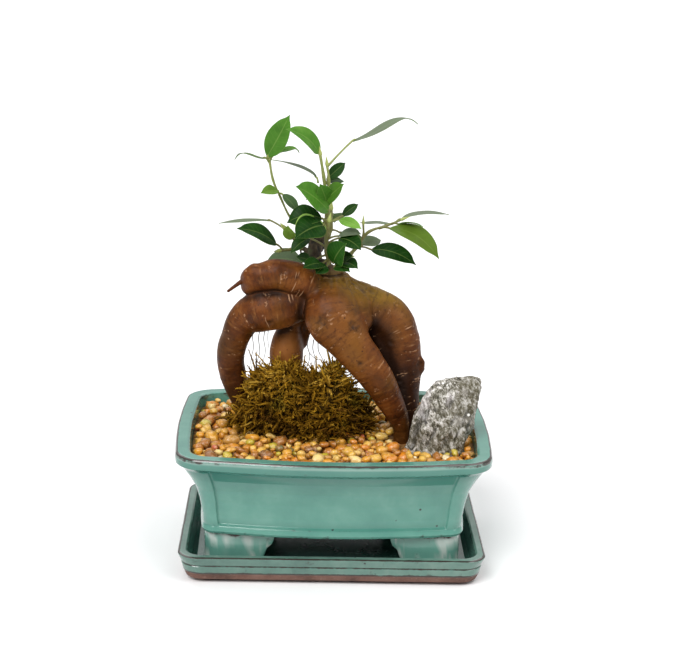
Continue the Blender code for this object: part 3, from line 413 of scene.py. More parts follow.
def fill_world():
    """A white world: it lights gently, shows more in gloss, and is itself seen as plain white."""
    world = bpy.data.worlds.new("studio")
    world.use_nodes = True
    tree = world.node_tree
    lit = tree.nodes["Background"]
    lit.inputs["Color"].default_value = (1, 1, 1, 1)
    lit.inputs["Strength"].default_value = WORLD_LIGHT
    seen = tree.nodes.new("ShaderNodeBackground")
    seen.inputs["Strength"].default_value = WORLD_SEEN
    seen.inputs["Color"].default_value = (1, 1, 1, 1)
    choice = tree.nodes.new("ShaderNodeMixShader")
    path = tree.nodes.new("ShaderNodeLightPath")
    gloss = tree.nodes.new("ShaderNodeMath")
    gloss.operation = "MULTIPLY_ADD"
    gloss.inputs[1].default_value = WORLD_GLOSS
    tree.links.new(path.outputs["Is Glossy Ray"], gloss.inputs[0])
    tree.links.new(path.outputs["Is Camera Ray"], gloss.inputs[2])
    tree.links.new(gloss.outputs[0], choice.inputs["Fac"])
    tree.links.new(lit.outputs["Background"], choice.inputs[1])
    tree.links.new(seen.outputs["Background"], choice.inputs[2])
    tree.links.new(choice.outputs["Shader"], tree.nodes["World Output"].inputs["Surface"])
    bpy.context.scene.world = world


make_floor()
for sun in SUNS:
    hang_sun(*sun)
fill_world()
bpy.context.scene.view_settings.view_transform = "Standard"
bpy.context.scene.view_settings.look = "None"
print("suns:", len(SUNS), "world strength:", WORLD_LIGHT)

# %% [markdown]
# Shape of the glazed clay
#
# Pot and saucer are pressed clay: one plan, a rectangle with rounded corners and slightly bowed
# sides, carried up through many heights. A subdivided box could be pulled to this shape, but a
# loft keeps every wall height and every corner radius a plain number. The turning points of the
# profile are eased by cutting their corners, which leaves the soft edges that a glaze fires to.

# %% Plan and profile of clay ware
CORNER_POINTS = 14
POST_MARKS = (-2.2, -1.3, -0.75, -0.35, 0.0, 0.35, 0.75, 1.3, 2.2)


def eased(levels, reach, rounds=2):
    """Cuts the corners of a row of levels: points go in at reach before and after each corner,
    then every stretch is cut at a quarter and three quarters, rounds times."""
    rows = np.array(levels, float)
    out = [rows[0]]
    for a, b in zip(rows[:-1], rows[1:]):
        share = min(reach / max(np.linalg.norm((b - a)[:2]), 1e-6), 0.35)
        out += [a + (b - a) * share, b + (a - b) * share, b]
    rows = np.array(out)
    for _ in range(rounds):
        first, second = 0.75 * rows[:-1] + 0.25 * rows[1:], 0.25 * rows[:-1] + 0.75 * rows[1:]
        middle = np.stack([first, second], axis=1).reshape(-1, rows.shape[1])
        rows = np.vstack([rows[:1], middle, rows[-1:]])
    return rows


def plan_levels(half_x, half_y, corner, bow_x, bow_y, recess, post, fill):
    """Plans of a bowed, rounded rectangle, one row for each level, as an array (rows, points, 2).

    A side runs along s from corner to corner, bows by bow * (1 - (s / length)^2), and between its
    posts steps in by recess. A corner is a quarter circle. fill is how many points a side gets."""
    rings = []
    quarter = np.linspace(0, math.pi / 2, CORNER_POINTS + 1)[1:-1]
    for turn in range(4):
        along_x = turn % 2 == 0
        length = ((half_x if along_x else half_y) - corner)[:, None]
        depth = (half_y if along_x else half_x)[:, None]
        bow = (bow_y if along_x else bow_x)[:, None]
        panel = length - post[:, None]
        marks = np.array(POST_MARKS)
        count = fill if along_x else int(fill * 0.7)
        inner = np.linspace(-1, 1, count)[1:-1] * (panel - 2.8)
        close = np.where(marks > 0, 0.26 * marks, marks)
        s = np.concatenate([-length, -panel - close[::-1], inner, panel + close, length], axis=1)
        inside = 1 - soft_step(np.abs(s), panel - 1.1, panel + 0.5)
        d = recess[:, None] * inside - depth - bow * (1 - (s / length) ** 2)
        arc_s = length + corner[:, None] * np.sin(quarter)
        arc_d = corner[:, None] - depth - corner[:, None] * np.cos(quarter)
        s, d = np.concatenate([s, arc_s], axis=1), np.concatenate([d, arc_d], axis=1)
        for _ in range(turn):
            s, d = -d, s
        rings.append(np.stack([s, d], axis=2))
    return np.concatenate(rings, axis=1)


def ware_shell(heights, plans):
    """Points and faces of a closed shell through plans at their heights, capped at both ends."""
    rows, count = plans.shape[:2]
    levels = np.repeat(heights[:, None], count, axis=1)[:, :, None]
    points = np.concatenate([plans, levels], axis=2).reshape(-1, 3)
    return points, loft_faces(rows, count)


# %% [markdown]
# Jade glaze
#
# The glaze is a glassy blue green. It runs thin over sharp edges while it melts, and there the
# iron in the clay turns it brown black, and it pools a little darker and bluer in hollows. That
# darker layer is also painted shade: under the lip, on the lip's downward front, under the pot
# and on the saucer's floor. A pale layer is a painted highlight: a band under the lip's brown
# line and glints on the feet. A paint layer from a mesh attribute says where the edges are, and
# noise breaks it up. Fine specks and a clear gloss finish it. One flat green would look like
# plastic.

# %% Jade glaze finish


def jade_glaze(name, base, deep, pale):
    """The glaze: mottled body colour, darker in pools and painted shade, pale as painted highlight,
    brown where the painted rim value is high, dark specks.
    """
    look = Finish(name, Roughness=0.16, Coat_Weight=0.35, Coat_Roughness=0.06)
    where = look.place()
    cloud = look.noise(where, 38, 4, 0.6)
    body = look.ramp(cloud, (0.3, deep), (0.52, base), (0.75, pale))
    streaks = look.noise(look.place((1, 1, 0.25)), 210, 4, 0.65)
    body = look.mix(look.times(look.band(streaks, 0.5, 0.75), 0.22), body, pale)
    # Darker and bluer where the pool layer is high: glaze pooled in hollows, and painted shade
    # under the lip, on its front, under the pot and on the saucer's floor.
    body = look.mix(look.painted("pool"), body, (0.4 * deep[0], 0.62 * deep[1], 0.6 * deep[2]))
    # Painted highlight where the pale layer is high: a band under the lip's brown line, glints on
    # the feet.
    body = look.mix(look.painted("pale"), body, (0.36, 0.43, 0.39))
    ragged = look.sums("MULTIPLY_ADD", look.noise(where, 170, 4, 0.65), 1.6, -0.8)
    thin = look.band(look.plus(look.painted("thin"), ragged), 0.42, 0.8)
    body = look.mix(thin, body, (0.030, 0.022, 0.017))
    spots = look.cells(where, 150.0)
    gate = look.band(look.noise(where, 95, 1), 0.6, 0.66)
    speck = look.times(look.band(spots, 0.14, 0.07), gate)
    body = look.mix(speck, body, (0.03, 0.035, 0.03))
    return look.done(body, (look.noise(where, 60, 3), 0.12, 1.0), (spots, 0.03, 0.2))


JADE = (0.090, 0.262, 0.206)
JADE_DEEP = (0.070, 0.222, 0.178)
JADE_PALE = (0.128, 0.305, 0.246)
pot_glaze = jade_glaze("pot_glaze", JADE, JADE_DEEP, JADE_PALE)

# %% [markdown]
# Pot
#
# The pot has a heavy rolled lip, a cove under it, four walls with a sunken panel each, a bead
# along the bottom and an inside wall down to its floor. It is one closed shell, up the outside
# and down the inside. The brown lines of the glaze follow the outer edge of the lip's flat top,
# the inner edge and the bead, so the thin value is painted level by level.

# %% Pot body
RIM = {"half_x": 89.0, "half_y": 65.0, "corner": 17.0, "bow_x": 2.0, "bow_y": 7.0}
POT_LEVELS = [
    # height, inset from the rim, panel depth, panel end shift, thin, pool and painted shade
    (27.0, 40.0, 0.0, 0.0, 0.0, 0.4),
    (27.0, 17.6, 0.0, 0.0, 0.8, 0.6),
    (28.0, 15.5, 0.0, 0.0, 0.45, 0.0),
    (29.7, 14.5, 0.0, 0.0, 0.3, 0.0),
    (31.4, 15.1, 0.0, 0.0, 0.05, 0.1),
    (32.4, 15.6, 0.0, 1.0, 0.35, 0.4),
    (33.6, 15.5, 1.8, 0.5, 0.05, 0.3),
    (38.0, 15.2, 1.8, 0.0, 0.0, 0.0),
    (47.0, 13.8, 1.8, 0.0, 0.0, 0.0),
    (54.5, 11.8, 1.8, 0.0, 0.0, 0.0),
    (61.5, 8.2, 1.8, 0.0, 0.0, 0.2),
    (68.2, 4.0, 1.2, 0.0, 0.0, 0.8),
    (70.0, 1.7, 0.0, 0.0, 0.1, 0.8),
    (71.0, 0.3, 0.0, 0.0, 0.3, 0.6),
    (74.0, 0.0, 0.0, 0.0, 0.0, 0.45),
    (75.8, 0.3, 0.0, 0.0, 0.1, 0.2),
    (76.6, 0.9, 0.0, 0.0, 1.5, 0.0),
    (77.0, 2.0, 0.0, 0.0, 0.15, 0.0),
    (77.0, 3.4, 0.0, 0.0, 0.0, 0.0),
    (77.0, 7.2, 0.0, 0.0, 0.15, 0.0),
    (76.2, 8.6, 0.0, 0.0, 0.6, 0.0),
    (66.5, 9.6, 0.0, 0.0, 0.0, 0.1),
    (60.0, 15.0, 0.0, 0.0, 0.0, 0.0),
    (50.0, 19.6, 0.0, 0.0, 0.0, 0.0),
    (36.0, 22.6, 0.0, 0.0, 0.0, 0.0),
    (33.5, 25.0, 0.0, 0.0, 0.0, 0.0),
    (33.5, 46.0, 0.0, 0.0, 0.0, 0.0),
]
POST = 0.6
POT_SIDE_POINTS = 28
LIP_LINE, LIP_SHINE = 75.3, 75.0
LEAST_CORNER = 2.0
INNER_RIM_INSET = 9.4
# What one mm of inset takes off the half width, the corner radius and the long sides' bow
INSET_Y, INSET_CORNER, INSET_BOW = 0.92, 0.6, 0.08


def pot_plans(inset, recess, shrink):
    """The pot's plans at insets from its rim. Corner and bow shrink a little with the inset."""
    return plan_levels(
        RIM["half_x"] - inset, RIM["half_y"] - INSET_Y * inset,
        np.maximum(RIM["corner"] - INSET_CORNER * inset, LEAST_CORNER),
        RIM["bow_x"] + 0 * inset, np.maximum(RIM["bow_y"] - INSET_BOW * inset, 0),
        recess, POST + shrink, POT_SIDE_POINTS,
    )


def inner_rim():
    """The pot's plan just inside its lip, where the gravel meets the wall."""
    return pot_plans(np.array([INNER_RIM_INSET]), np.zeros(1), np.zeros(1))[0]


def make_pot_body():
    """The pot's shell, a little uneven, with its brown lines, pools and painted shade, and a
    painted highlight on the lip.
    """
    levels = eased(POT_LEVELS, 1.0)
    heights, inset, recess, shrink, thin, pool = levels.T
    points, faces = ware_shell(heights, pot_plans(inset, recess, shrink))
    wave = rough_clouds(points, 26, 5, 2)[:, None] * np.array([0.22, 0.22, 0.1])
    points = points + wave * soft_step(np.abs(points[:, 0]), 0, 30)[:, None]
    body = mesh_piece("pot_body", points, faces)
    count = len(points) // len(levels)
    outside = inset < 1
    lip = np.repeat(bell(heights, LIP_LINE, 0.9) * outside, count)
    thin = np.repeat(thin, count) + lip * (0.22 + 0.4 * soft_step(np.abs(points[:, 0]), 50, 82))
    # The pale layer on the pot is a painted highlight: a band just under the lip's brown line.
    pale = np.repeat(0.45 * bell(heights, LIP_SHINE, 0.7) * outside, count)
    paint(body, thin=thin, pool=np.repeat(pool, count), pale=pale)
    return body


finish_piece(make_pot_body(), [pot_glaze], "jade_glaze", "pot")

# %% [markdown]
# Feet of the pot
#
# Four L-shaped bracket feet carry the pot. Each inner end sweeps up to the pot's underside in two
# small steps, as on carved furniture. A foot is one rounded rectangle carried along the L, and
# the underside's height is a curve of the distance from the end.

# %% Bracket feet
FOOT_X, FOOT_Y, FOOT_THICK, FOOT_CORNER = 73.0, 49.0, 9.0, 10.0
FOOT_INNER_X, FOOT_INNER_Y = 33.0, 21.0
FOOT_TOP, FOOT_BOTTOM = 28.2, 7.3
BRACKET = [(0.0, 24.0), (1.2, 20.5), (4.0, 17.8), (5.2, 14.2), (8.5, FOOT_BOTTOM),
           (80.0, FOOT_BOTTOM)]
FOOT_SECTION = 28


def foot_path():
    """Points and outward directions along one foot: straight, quarter circle, straight."""
    run_x = np.concatenate([np.linspace(0, 9, 16), np.linspace(11, 30, 8)]) + FOOT_INNER_X
    run_y = np.concatenate([np.linspace(0, 9, 16), np.linspace(10, 18, 5)]) + FOOT_INNER_Y
    turn = np.linspace(math.pi / 2, 0, 11)[1:-1]
    cx, cy = FOOT_X - FOOT_CORNER, FOOT_Y - FOOT_CORNER
    x = np.concatenate([run_x, cx + FOOT_CORNER * np.cos(turn), np.full(len(run_y), FOOT_X)])
    y = np.concatenate([np.full(len(run_x), FOOT_Y), cy + FOOT_CORNER * np.sin(turn), run_y[::-1]])
    out_x = np.concatenate([0 * run_x, np.cos(turn), 0 * run_y + 1])
    out_y = np.concatenate([0 * run_x + 1, np.sin(turn), 0 * run_y])
    away = np.concatenate([run_x - FOOT_INNER_X, 0 * turn + 40, (run_y - FOOT_INNER_Y)[::-1]])
    return x, y, out_x, out_y, away


def make_pot_feet():
    """A superellipse section, |a|^4 + |b|^4 = 1, carried along each foot's path."""
    x, y, out_x, out_y, away = foot_path()
    bottom = np.interp(away, *np.array(BRACKET).T)
    turn = full_turn(FOOT_SECTION)
    a = np.sign(np.cos(turn)) * np.abs(np.cos(turn)) ** 0.4
    b = np.sign(np.sin(turn)) * np.abs(np.sin(turn)) ** 0.4
    deep = -FOOT_THICK / 2 * (1 - a)[None, :]
    middle, half = (FOOT_TOP + bottom) / 2, (FOOT_TOP - bottom) / 2
    grid = np.stack([x[:, None] + out_x[:, None] * deep, y[:, None] + out_y[:, None] * deep,
                     middle[:, None] + half[:, None] * b[None, :]], axis=2)
    one = loft_faces(len(x), FOOT_SECTION)
    points, faces = [], []
    for sx, sy in ((-1, -1), (1, -1), (1, 1), (-1, 1)):
        shift = sum(len(p) for p in points)
        points.append(grid.reshape(-1, 3) * (sx, sy, 1))
        faces += [(group if sx * sy > 0 else group[:, ::-1]) + shift for group in one]
    points = np.concatenate(points)
    points += rough_clouds(points, 9, 8, 2)[:, None] * 0.25
    feet = mesh_piece("pot_feet", points, faces)
    height = points[:, 2]
    thin = 0.1 + 0.35 * soft_step(height, 10.5, 7.5) + 0.7 * soft_step(height, 24.5, 27.5)
    thin = thin + 0.3 * soft_step(rough_clouds(points, 6, 10), 0.1, 0.6)
    # The pale layer on the feet is painted glints: reflections on the bumpy glaze.
    stains = 0.08 + 0.9 * soft_step(rough_clouds(points, 4, 9), 0.0, 0.6)
    paint(feet, thin=thin, pool=np.zeros(len(points)), pale=stains)
    return feet


finish_piece(make_pot_feet(), [pot_glaze], "jade_glaze", "pot")

# %% [markdown]
# Saucer
#
# The saucer is a shallow tray of the same clay with the same glaze. Its glaze colours are a little
# darker, partly as painted shadow of the pot and partly because its glaze is thinner. A groove
# runs round its wall, below it the clay was wiped bare and shows red brown, and four low pads
# keep it off the table.

# %% Saucer
SAUCER = {"half_x": 87.5, "half_y": 60.5, "corner": 11.5}
SAUCER_POST, SAUCER_SIDE_POINTS = 9, 24
SAUCER_LEVELS = [
    # height, inset, thin, pool and painted shade, clay
    (1.5, 40.0, 0.0, 0.0, 1.0),
    (1.5, 6.4, 0.0, 0.0, 1.0),
    (2.4, 4.4, 0.0, 0.0, 1.0),
    (5.6, 3.2, 0.0, 0.0, 1.0),
    (6.4, 2.8, 1.2, 0.0, 0.0),
    (7.4, 2.6, 0.2, 0.0, 0.0),
    (10.4, 2.0, 0.25, 0.0, 0.0),
    (11.1, 2.4, 0.9, 0.6, 0.0),
    (11.8, 1.8, 0.25, 0.0, 0.0),
    (15.2, 0.4, 0.3, 0.0, 0.0),
    (16.3, 0.1, 0.3, 0.0, 0.0),
    (16.8, 0.7, 1.5, 0.0, 0.0),
    (17.0, 1.7, 0.1, 0.0, 0.0),
    (17.0, 4.4, 0.1, 0.0, 0.0),
    (16.3, 5.4, 0.5, 0.0, 0.0),
    (9.2, 7.6, 0.0, 0.9, 0.0),
    (7.0, 9.8, 0.0, 1.0, 0.0),
    (7.0, 44.0, 0.0, 0.9, 0.0),
]
PAD_X, PAD_Y, PAD_RADIUS, PAD_POINTS = 68.0, 42.0, 6.0, 24
PAD_LEVELS = ((0.8, 0.0), (0.97, 0.2), (1.0, 0.6), (1.0, 2.2))  # share of the radius, height


def bare_clay():
    """Unglazed red brown clay: dull, with grit, small pits and darker burnt patches."""
    look = Finish("bare_clay", Roughness=0.75)
    where = look.place()
    burnt = look.noise(where, 55, 4, 0.65)
    body = look.ramp(burnt, (0.3, (0.05, 0.022, 0.014)), (0.5, (0.15, 0.07, 0.05)),
                     (0.75, (0.22, 0.12, 0.09)))
    grit = look.noise(where, 900, 2)
    body = look.mix(look.times(look.band(grit, 0.55, 0.75), 0.4), body, (0.3, 0.2, 0.16))
    return look.done(body, (grit, 0.35, 0.25), (burnt, 0.2, 0.8))


def make_saucer_dish():
    """The tray and its four pads, with bare clay on the pads and below the wall's glaze line."""
    levels = eased(SAUCER_LEVELS, 0.8)
    heights, inset, thin, pool, clay = levels.T
    none = 0 * inset
    corner = np.maximum(SAUCER["corner"] - 0.4 * inset, LEAST_CORNER)
    plans = plan_levels(SAUCER["half_x"] - inset, SAUCER["half_y"] - inset, corner,
                        none, none, none, SAUCER_POST + none, SAUCER_SIDE_POINTS)
    points, faces = ware_shell(heights, plans)
    count = plans.shape[1]
    wave = rough_clouds(points, 30, 15, 2)
    points[:, :2] += wave[:, None] * 0.25
    side = faces[0]
    turn = full_turn(PAD_POINTS)
    pads, pad_faces = [], []
    for sx in (-1, 1):
        for sy in (-1, 1):
            shift = len(points) + sum(len(p) for p in pads)
            for radius, z in PAD_LEVELS:
                pads.append(np.stack([sx * PAD_X + PAD_RADIUS * radius * np.cos(turn),
                                      sy * PAD_Y + PAD_RADIUS * radius * np.sin(turn),
                                      0 * turn + z], axis=1))
            pad_faces += loft_faces(len(PAD_LEVELS), PAD_POINTS, shift)
    points = np.concatenate([points] + pads)
    dish = mesh_piece("saucer_dish", points, faces + pad_faces)
    extra = np.zeros(len(points) - count * len(levels))
    thin, pool = [np.concatenate([np.repeat(layer, count), extra]) for layer in (thin, pool)]
    paint(dish, thin=thin, pool=pool, pale=np.zeros(len(points)))
    bare = np.concatenate([clay[side[:, 0] // count] > 0.5, [True, False]])
    bare = np.concatenate([bare, np.ones(sum(len(g) for g in pad_faces), bool)])
    dish.data.polygons.foreach_set("material_index", bare.astype(np.int32))
    return dish


# Darker glaze colours than the pot's: partly painted shadow of the pot, partly a thinner glaze.
saucer_glaze = jade_glaze("saucer_glaze", (0.105, 0.205, 0.165), (0.07, 0.145, 0.118),
                          (0.17, 0.27, 0.225))
finish_piece(make_saucer_dish(), [saucer_glaze, bare_clay()], "jade_glaze", "saucer")

# %% [markdown]
# Runs of root and stem
#
# Roots, trunk, stems and hairs are all tubes along a curve whose radius changes. A curve object
# with a bevel would give such tubes too, but points from a formula can be joined, measured and
# displaced at once. The curve is a Catmull-Rom spline, which passes through every typed point.

# %% Splines and tubes


def spline(points, steps):
    """A Catmull-Rom curve through rows of numbers, with steps rows to a span, as one array."""
    rows = np.array(points, float)
    padded = np.vstack([2 * rows[0] - rows[1], rows, 2 * rows[-1] - rows[-2]])
    a, b, c, d = padded[:-3, None], padded[1:-2, None], padded[2:-1, None], padded[3:, None]
    t = (np.arange(steps) / steps)[None, :, None]
    square, cube = 2 * a - 5 * b + 4 * c - d, 3 * b - a - 3 * c + d
    curve = 0.5 * (2 * b + (c - a) * t + square * t**2 + cube * t**3)
    return np.vstack([curve.reshape(-1, rows.shape[1]), rows[-1:]])


def frames(centres):
    """Tangent, side and other side at every point of a curve, turned as little as possible."""
    tangents = unit(np.gradient(centres, axis=0))
    side = np.cross(tangents[0], (0.3, 1.0, 0.2))
    sides = []
    for tangent in tangents:
        side = side - tangent * np.dot(side, tangent)
        side = side / np.linalg.norm(side)
        sides.append(side)
    sides = np.array(sides)
    return tangents, sides, np.cross(tangents, sides)


def tube(rows, corners):
    """A closed tube: a circle of each row's radius, carried along rows of x, y, z and radius."""
    _, side, other = frames(rows[:, :3])
    turn = full_turn(corners)
    ring = side[:, None] * np.cos(turn)[:, None] + other[:, None] * np.sin(turn)[:, None]
    points = (rows[:, None, :3] + rows[:, None, 3:] * ring).reshape(-1, 3)
    return points, loft_faces(len(rows), corners)


def domed(rows):
    """Adds smaller rows beyond both ends, so that a tube closes as a dome."""
    out = [rows]
    for end, inner in ((0, 1), (-1, -2)):
        away = rows[end, :3] - rows[inner, :3]
        away = away / np.linalg.norm(away)
        reach = np.array([0.35, 0.65, 0.87, 0.98])
        cap = np.column_stack([rows[end, :3] + away * rows[end, 3] * reach[:, None],
                               rows[end, 3] * np.sqrt(1 - reach**2)])
        out = [cap[::-1]] + out if end == 0 else out + [cap]
    return np.vstack(out)


def joined(parts):
    """Points and faces of several (points, faces) pairs as one."""
    points, faces, shift = [], [], 0
    for some, groups in parts:
        points.append(some)
        faces += [np.asarray(group) + shift for group in groups]
        shift += len(some)
    return np.concatenate(points), faces


# %% [markdown]
# Swollen roots
#
# The roots of a ginseng ficus swell like carrots and grow together where they press on each
# other. Separate tubes would show hard lines there. So the tubes are merged by a voxel remesh,
# and each point of that mesh is then drawn onto a soft union: the nearest distance to every
# run, combined by a smooth minimum that fills the joints like a fillet.

# %% Runs of the roots
UPPER_LEFT_ROOT = [(-7, 1, 159, 8), (-14, -1, 161.5, 9), (-22, -3, 165.2, 9.8),
                   (-33, -5, 168.0, 9.3),
                   (-41, -5, 166.6, 8.7), (-46.5, -4, 165.0, 7.6)]
LOWER_LEFT_ROOT = [(-8, 6, 150, 10), (-20.5, 3, 148.8, 10.4), (-32, 0, 147.3, 13.2),
                   (-42.0, 0, 145.2, 13.3),
                   (-51.5, 2, 140.2, 10.7), (-57.6, 4, 128, 8.7), (-60.6, 6, 116.5, 8.7),
                   (-58.6, 8, 102, 8.4),
                   (-53.5, 10, 87.5, 7.6), (-51.5, 10, 77, 6.8), (-51.5, 10, 46, 6.2)]
MIDDLE_ROOT = [(-12, 10, 152, 7), (-20, 12, 143, 5.8), (-25.3, 13, 134, 6.2), (-27.7, 13, 126, 8.9),
               (-28.3, 13, 117, 10.6), (-28.0, 13, 108, 9.6), (-26.6, 14, 97, 8.0),
               (-24.5, 15, 80, 6.8),
               (-24.5, 15, 46, 5.8)]
FRONT_ROOT = [(-5, 0, 158, 10), (-3, -5, 150, 14.6), (-1.2, -9, 143, 16.4), (6.6, -13, 133, 13.5),
              (16.1, -15.5, 121.5, 11.1), (25.2, -14, 108.4, 9.7), (33, -11.5, 94.7, 8.2),
              (38.4, -9.5, 82.5, 6.4), (39.5, -8.5, 73, 5.6), (39.5, -8.5, 46, 5)]
RIGHT_ROOT = [(0, 10, 154.6, 10.5), (10, 11, 149.4, 12.2), (20.6, 12, 143.8, 13.6),
              (31.8, 11.5, 136.0, 14.7),
              (37.5, 9, 124, 13), (40.6, 6.5, 110, 11.2), (43, 4, 95.5, 8.4), (45, 2, 82, 6.8),
              (45, 1, 73, 5.8), (45, 1, 46, 5)]
INNER_FLANK = [(18, 8, 140, 7), (25, 6.5, 126, 7.4), (31.5, 4, 110, 7), (37, 1.5, 96, 5.8),
               (40.5, -1, 84, 4.2)]
NECK = [(-4, 9, 148, 13), (-3, 8, 158, 12), (-3, 8, 163, 10.8), (-4, 9, 171, 9.5)]
SHOULDER = [(4, 5, 152, 10), (10.5, 0, 149.5, 9.4), (14, -4, 141, 7.6)]
KNOBS = [(50.6, 4, 112.5, 3), (-46.8, -7, 169.2, 3.4), (-50.5, -3, 162.0, 4.6),
         (-50.0, -7, 166.0, 3.0), (3, 1, 161.5, 4.6), (-59.5, 0, 134, 3.2)]
ROOTLET = [(-49, -4, 164.5, 1.7), (-53.5, -4.6, 163.6, 1.4), (-57, -6, 161.5, 1.1),
           (-61.5, -8, 158.5, 0.8)]
SHADED_FORK = [(-12, 17, 148, 7.5), (-14.5, 18, 139, 6.6), (-17, 18, 129, 4.6),
               (-18.5, 17, 121, 3.2)]
ROOT_RUNS = [UPPER_LEFT_ROOT, LOWER_LEFT_ROOT, MIDDLE_ROOT, FRONT_ROOT, RIGHT_ROOT, INNER_FLANK,
             NECK, SHOULDER]
ROOT_RUNS += [[(x, y, z - 0.5 * r, r), (x, y, z + 0.5 * r, r)] for x, y, z, r in KNOBS]
ROOT_RUNS += [SHADED_FORK]
CROWN = (-4.0, 9.0)
CROWN_TOP = 165.5
CROWN_RADIUS = 11.6
ROOT_FOOT = 50.3
ROOT_SIDES = 28
ROOT_VOXEL = 0.75
ROOT_TRIM = 0.7
CREASE_REACH = 6.0


def sampled(run, pitch=1.1):
    """Rows of x, y, z, radius and distance along the run, about pitch mm apart."""
    fine = spline(run, 40)
    along = np.concatenate([[0], np.cumsum(np.linalg.norm(np.diff(fine[:, :3], axis=0), axis=1))])
    marks = np.linspace(0, along[-1], max(int(along[-1] / pitch), 3))
    return np.column_stack([np.interp(marks, along, fine[:, k]) for k in range(4)] + [marks])


ROOT_SAMPLES = [sampled(run) for run in ROOT_RUNS]


def root_field(points, soft=1.5, chunk=6000):
    """Distance to the soft union of all runs, its direction, and the nearest run and row.

    For each run the distance is |p - c| - r at its nearest row. The union is
    -soft * log(sum of exp(-distance / soft)), and the direction is weighted the same way."""
    distance, direction = np.empty(len(points)), np.empty((len(points), 3))
    nearest, row = np.empty(len(points), int), np.empty(len(points), int)
    for start in range(0, len(points), chunk):
        p = points[start:start + chunk]
        gaps, ways, rows = [], [], []
        for samples in ROOT_SAMPLES:
            c, r = samples[:, :3], samples[:, 3]
            squared = (p**2).sum(1)[:, None] + (c**2).sum(1)[None] - 2 * p @ c.T
            gap = np.sqrt(np.maximum(squared, 1e-6)) - r[None]
            best = gap.argmin(axis=1)
            way = p - c[best]
            gaps.append(gap[np.arange(len(p)), best])
            ways.append(unit(way))
            rows.append(best)
        gaps, ways = np.array(gaps), np.array(ways)
        low = gaps.min(axis=0)
        weight = np.exp(-(gaps - low) / soft)
        distance[start:start + chunk] = low - soft * np.log(weight.sum(axis=0))
        direction[start:start + chunk] = unit((weight[:, :, None] * ways).sum(axis=0))
        chosen = gaps.argmin(axis=0)
        nearest[start:start + chunk] = chosen
        row[start:start + chunk] = np.array(rows)[chosen, np.arange(len(p))]
    return distance, direction, nearest, row


def largest_part(points, quads):
    """The connected part with the most points, which drops pockets shut in between tubes.

    Each point takes the smallest number that its quads and that number's own point reach."""
    label, before = np.arange(len(points)), None
    while before is None or (label != before).any():
        before = label.copy()
        np.minimum.at(label, quads.ravel(), np.repeat(label[quads].min(axis=1), 4))
        label = label[label]
    keep = label == np.bincount(label).argmax()
    return points[keep], (np.cumsum(keep) - 1)[quads[keep[quads[:, 0]]]]


def skinned(parts, voxel):
    """Points and quads of a voxel remesh over overlapping tubes, without shut-in pockets."""
    rough = mesh_piece("rough_skin", *joined(parts))
    skin = rough.modifiers.new("skin", "REMESH")
    skin.mode = "VOXEL"
    skin.voxel_size = voxel * MM
    mesh = modified_mesh(rough)
    points = read_mesh(mesh.vertices, "co", 3) / MM
    quads = read_mesh(mesh.loops, "vertex_index", 1, int).reshape(-1, 4)
    bpy.data.objects.remove(rough, do_unlink=True)
    bpy.data.meshes.remove(mesh)
    return largest_part(points, quads)


# %% Relief of the bark
SCARS = [
    # place, radius, depth: round leaf and root scars that can be seen from the front
    ((-8.2, -24, 146.3), 2.8, 1.0), ((9.5, -23, 144), 2.0, 1.0), ((12.5, -22, 141), 1.6, 0.8),
    ((-30.5, -14, 172), 2.4, 0.6), ((49.8, 0.8, 114.3), 2.0, 0.7), ((37.7, -4.9, 103.1), 1.6, -0.6),
    ((20.8, 5, 157), 2.2, 0.5), ((-50, -11, 143), 2.0, 0.5), ((-22, -12, 168), 1.6, 0.5),
    ((33, -1.5, 128), 1.8, 0.6), ((14, -26, 122), 1.5, 0.6), ((-38, -12, 141), 1.8, 0.6),
]
RING_PITCH = 5.2


def bark_relief(points, nearest, row):
    """Height of the bark in mm and the share of ring crack at each point.

    Rings are narrow bands across a run: |s / pitch + clouds| near a whole number, kept only where
    a second cloud is high, so that each one fades out part of the way round. Long folds are waves
    round the run that fade towards the feet. Scars are dimples with a raised edge."""
    along = np.concatenate([s[:, 4] for s in ROOT_SAMPLES])
    first = np.cumsum([0] + [len(s) for s in ROOT_SAMPLES[:-1]])
    s = along[first[nearest] + row]
    drift = 0.9 * clouds(points, 14, 21) + 0.35 * clouds(points, 4.5, 22)
    phase = (s + 3.1 * nearest) / RING_PITCH + drift
    off = np.abs(phase - np.round(phase)) * RING_PITCH
    keep = soft_step(clouds(points * (1, 1, 1.5), 8, 23) + 0.5 * clouds(points, 3.2, 24), 0.05, 0.4)
    ring = bell(off, 0, 0.55) * keep
    height = 0.75 * clouds(points, 19, 25) + 0.34 * clouds(points, 7.5, 26)
    height += 0.12 * clouds(points, 3.0, 27)
    neck = np.exp(-(((points - (-3, 2, 163)) / (21, 18, 13)) ** 2).sum(axis=1))
    round_neck = np.arctan2(points[:, 1] - 9, points[:, 0] + 3)
    folds = np.sin(17 * round_neck + 3 * clouds(points, 9, 28)) + 0.5 * np.sin(31 * round_neck + 1)
    height += 0.5 * neck * folds
    height -= 0.30 * ring
    height += 0.10 * bell(off, 1.1, 0.6) * keep
    for place, radius, depth in SCARS:
        away = np.linalg.norm(points - place, axis=1) / radius
        height -= depth * (bell(away, 0, 1) - 0.45 * bell(away, 1.5, 0.45))
    return height, ring


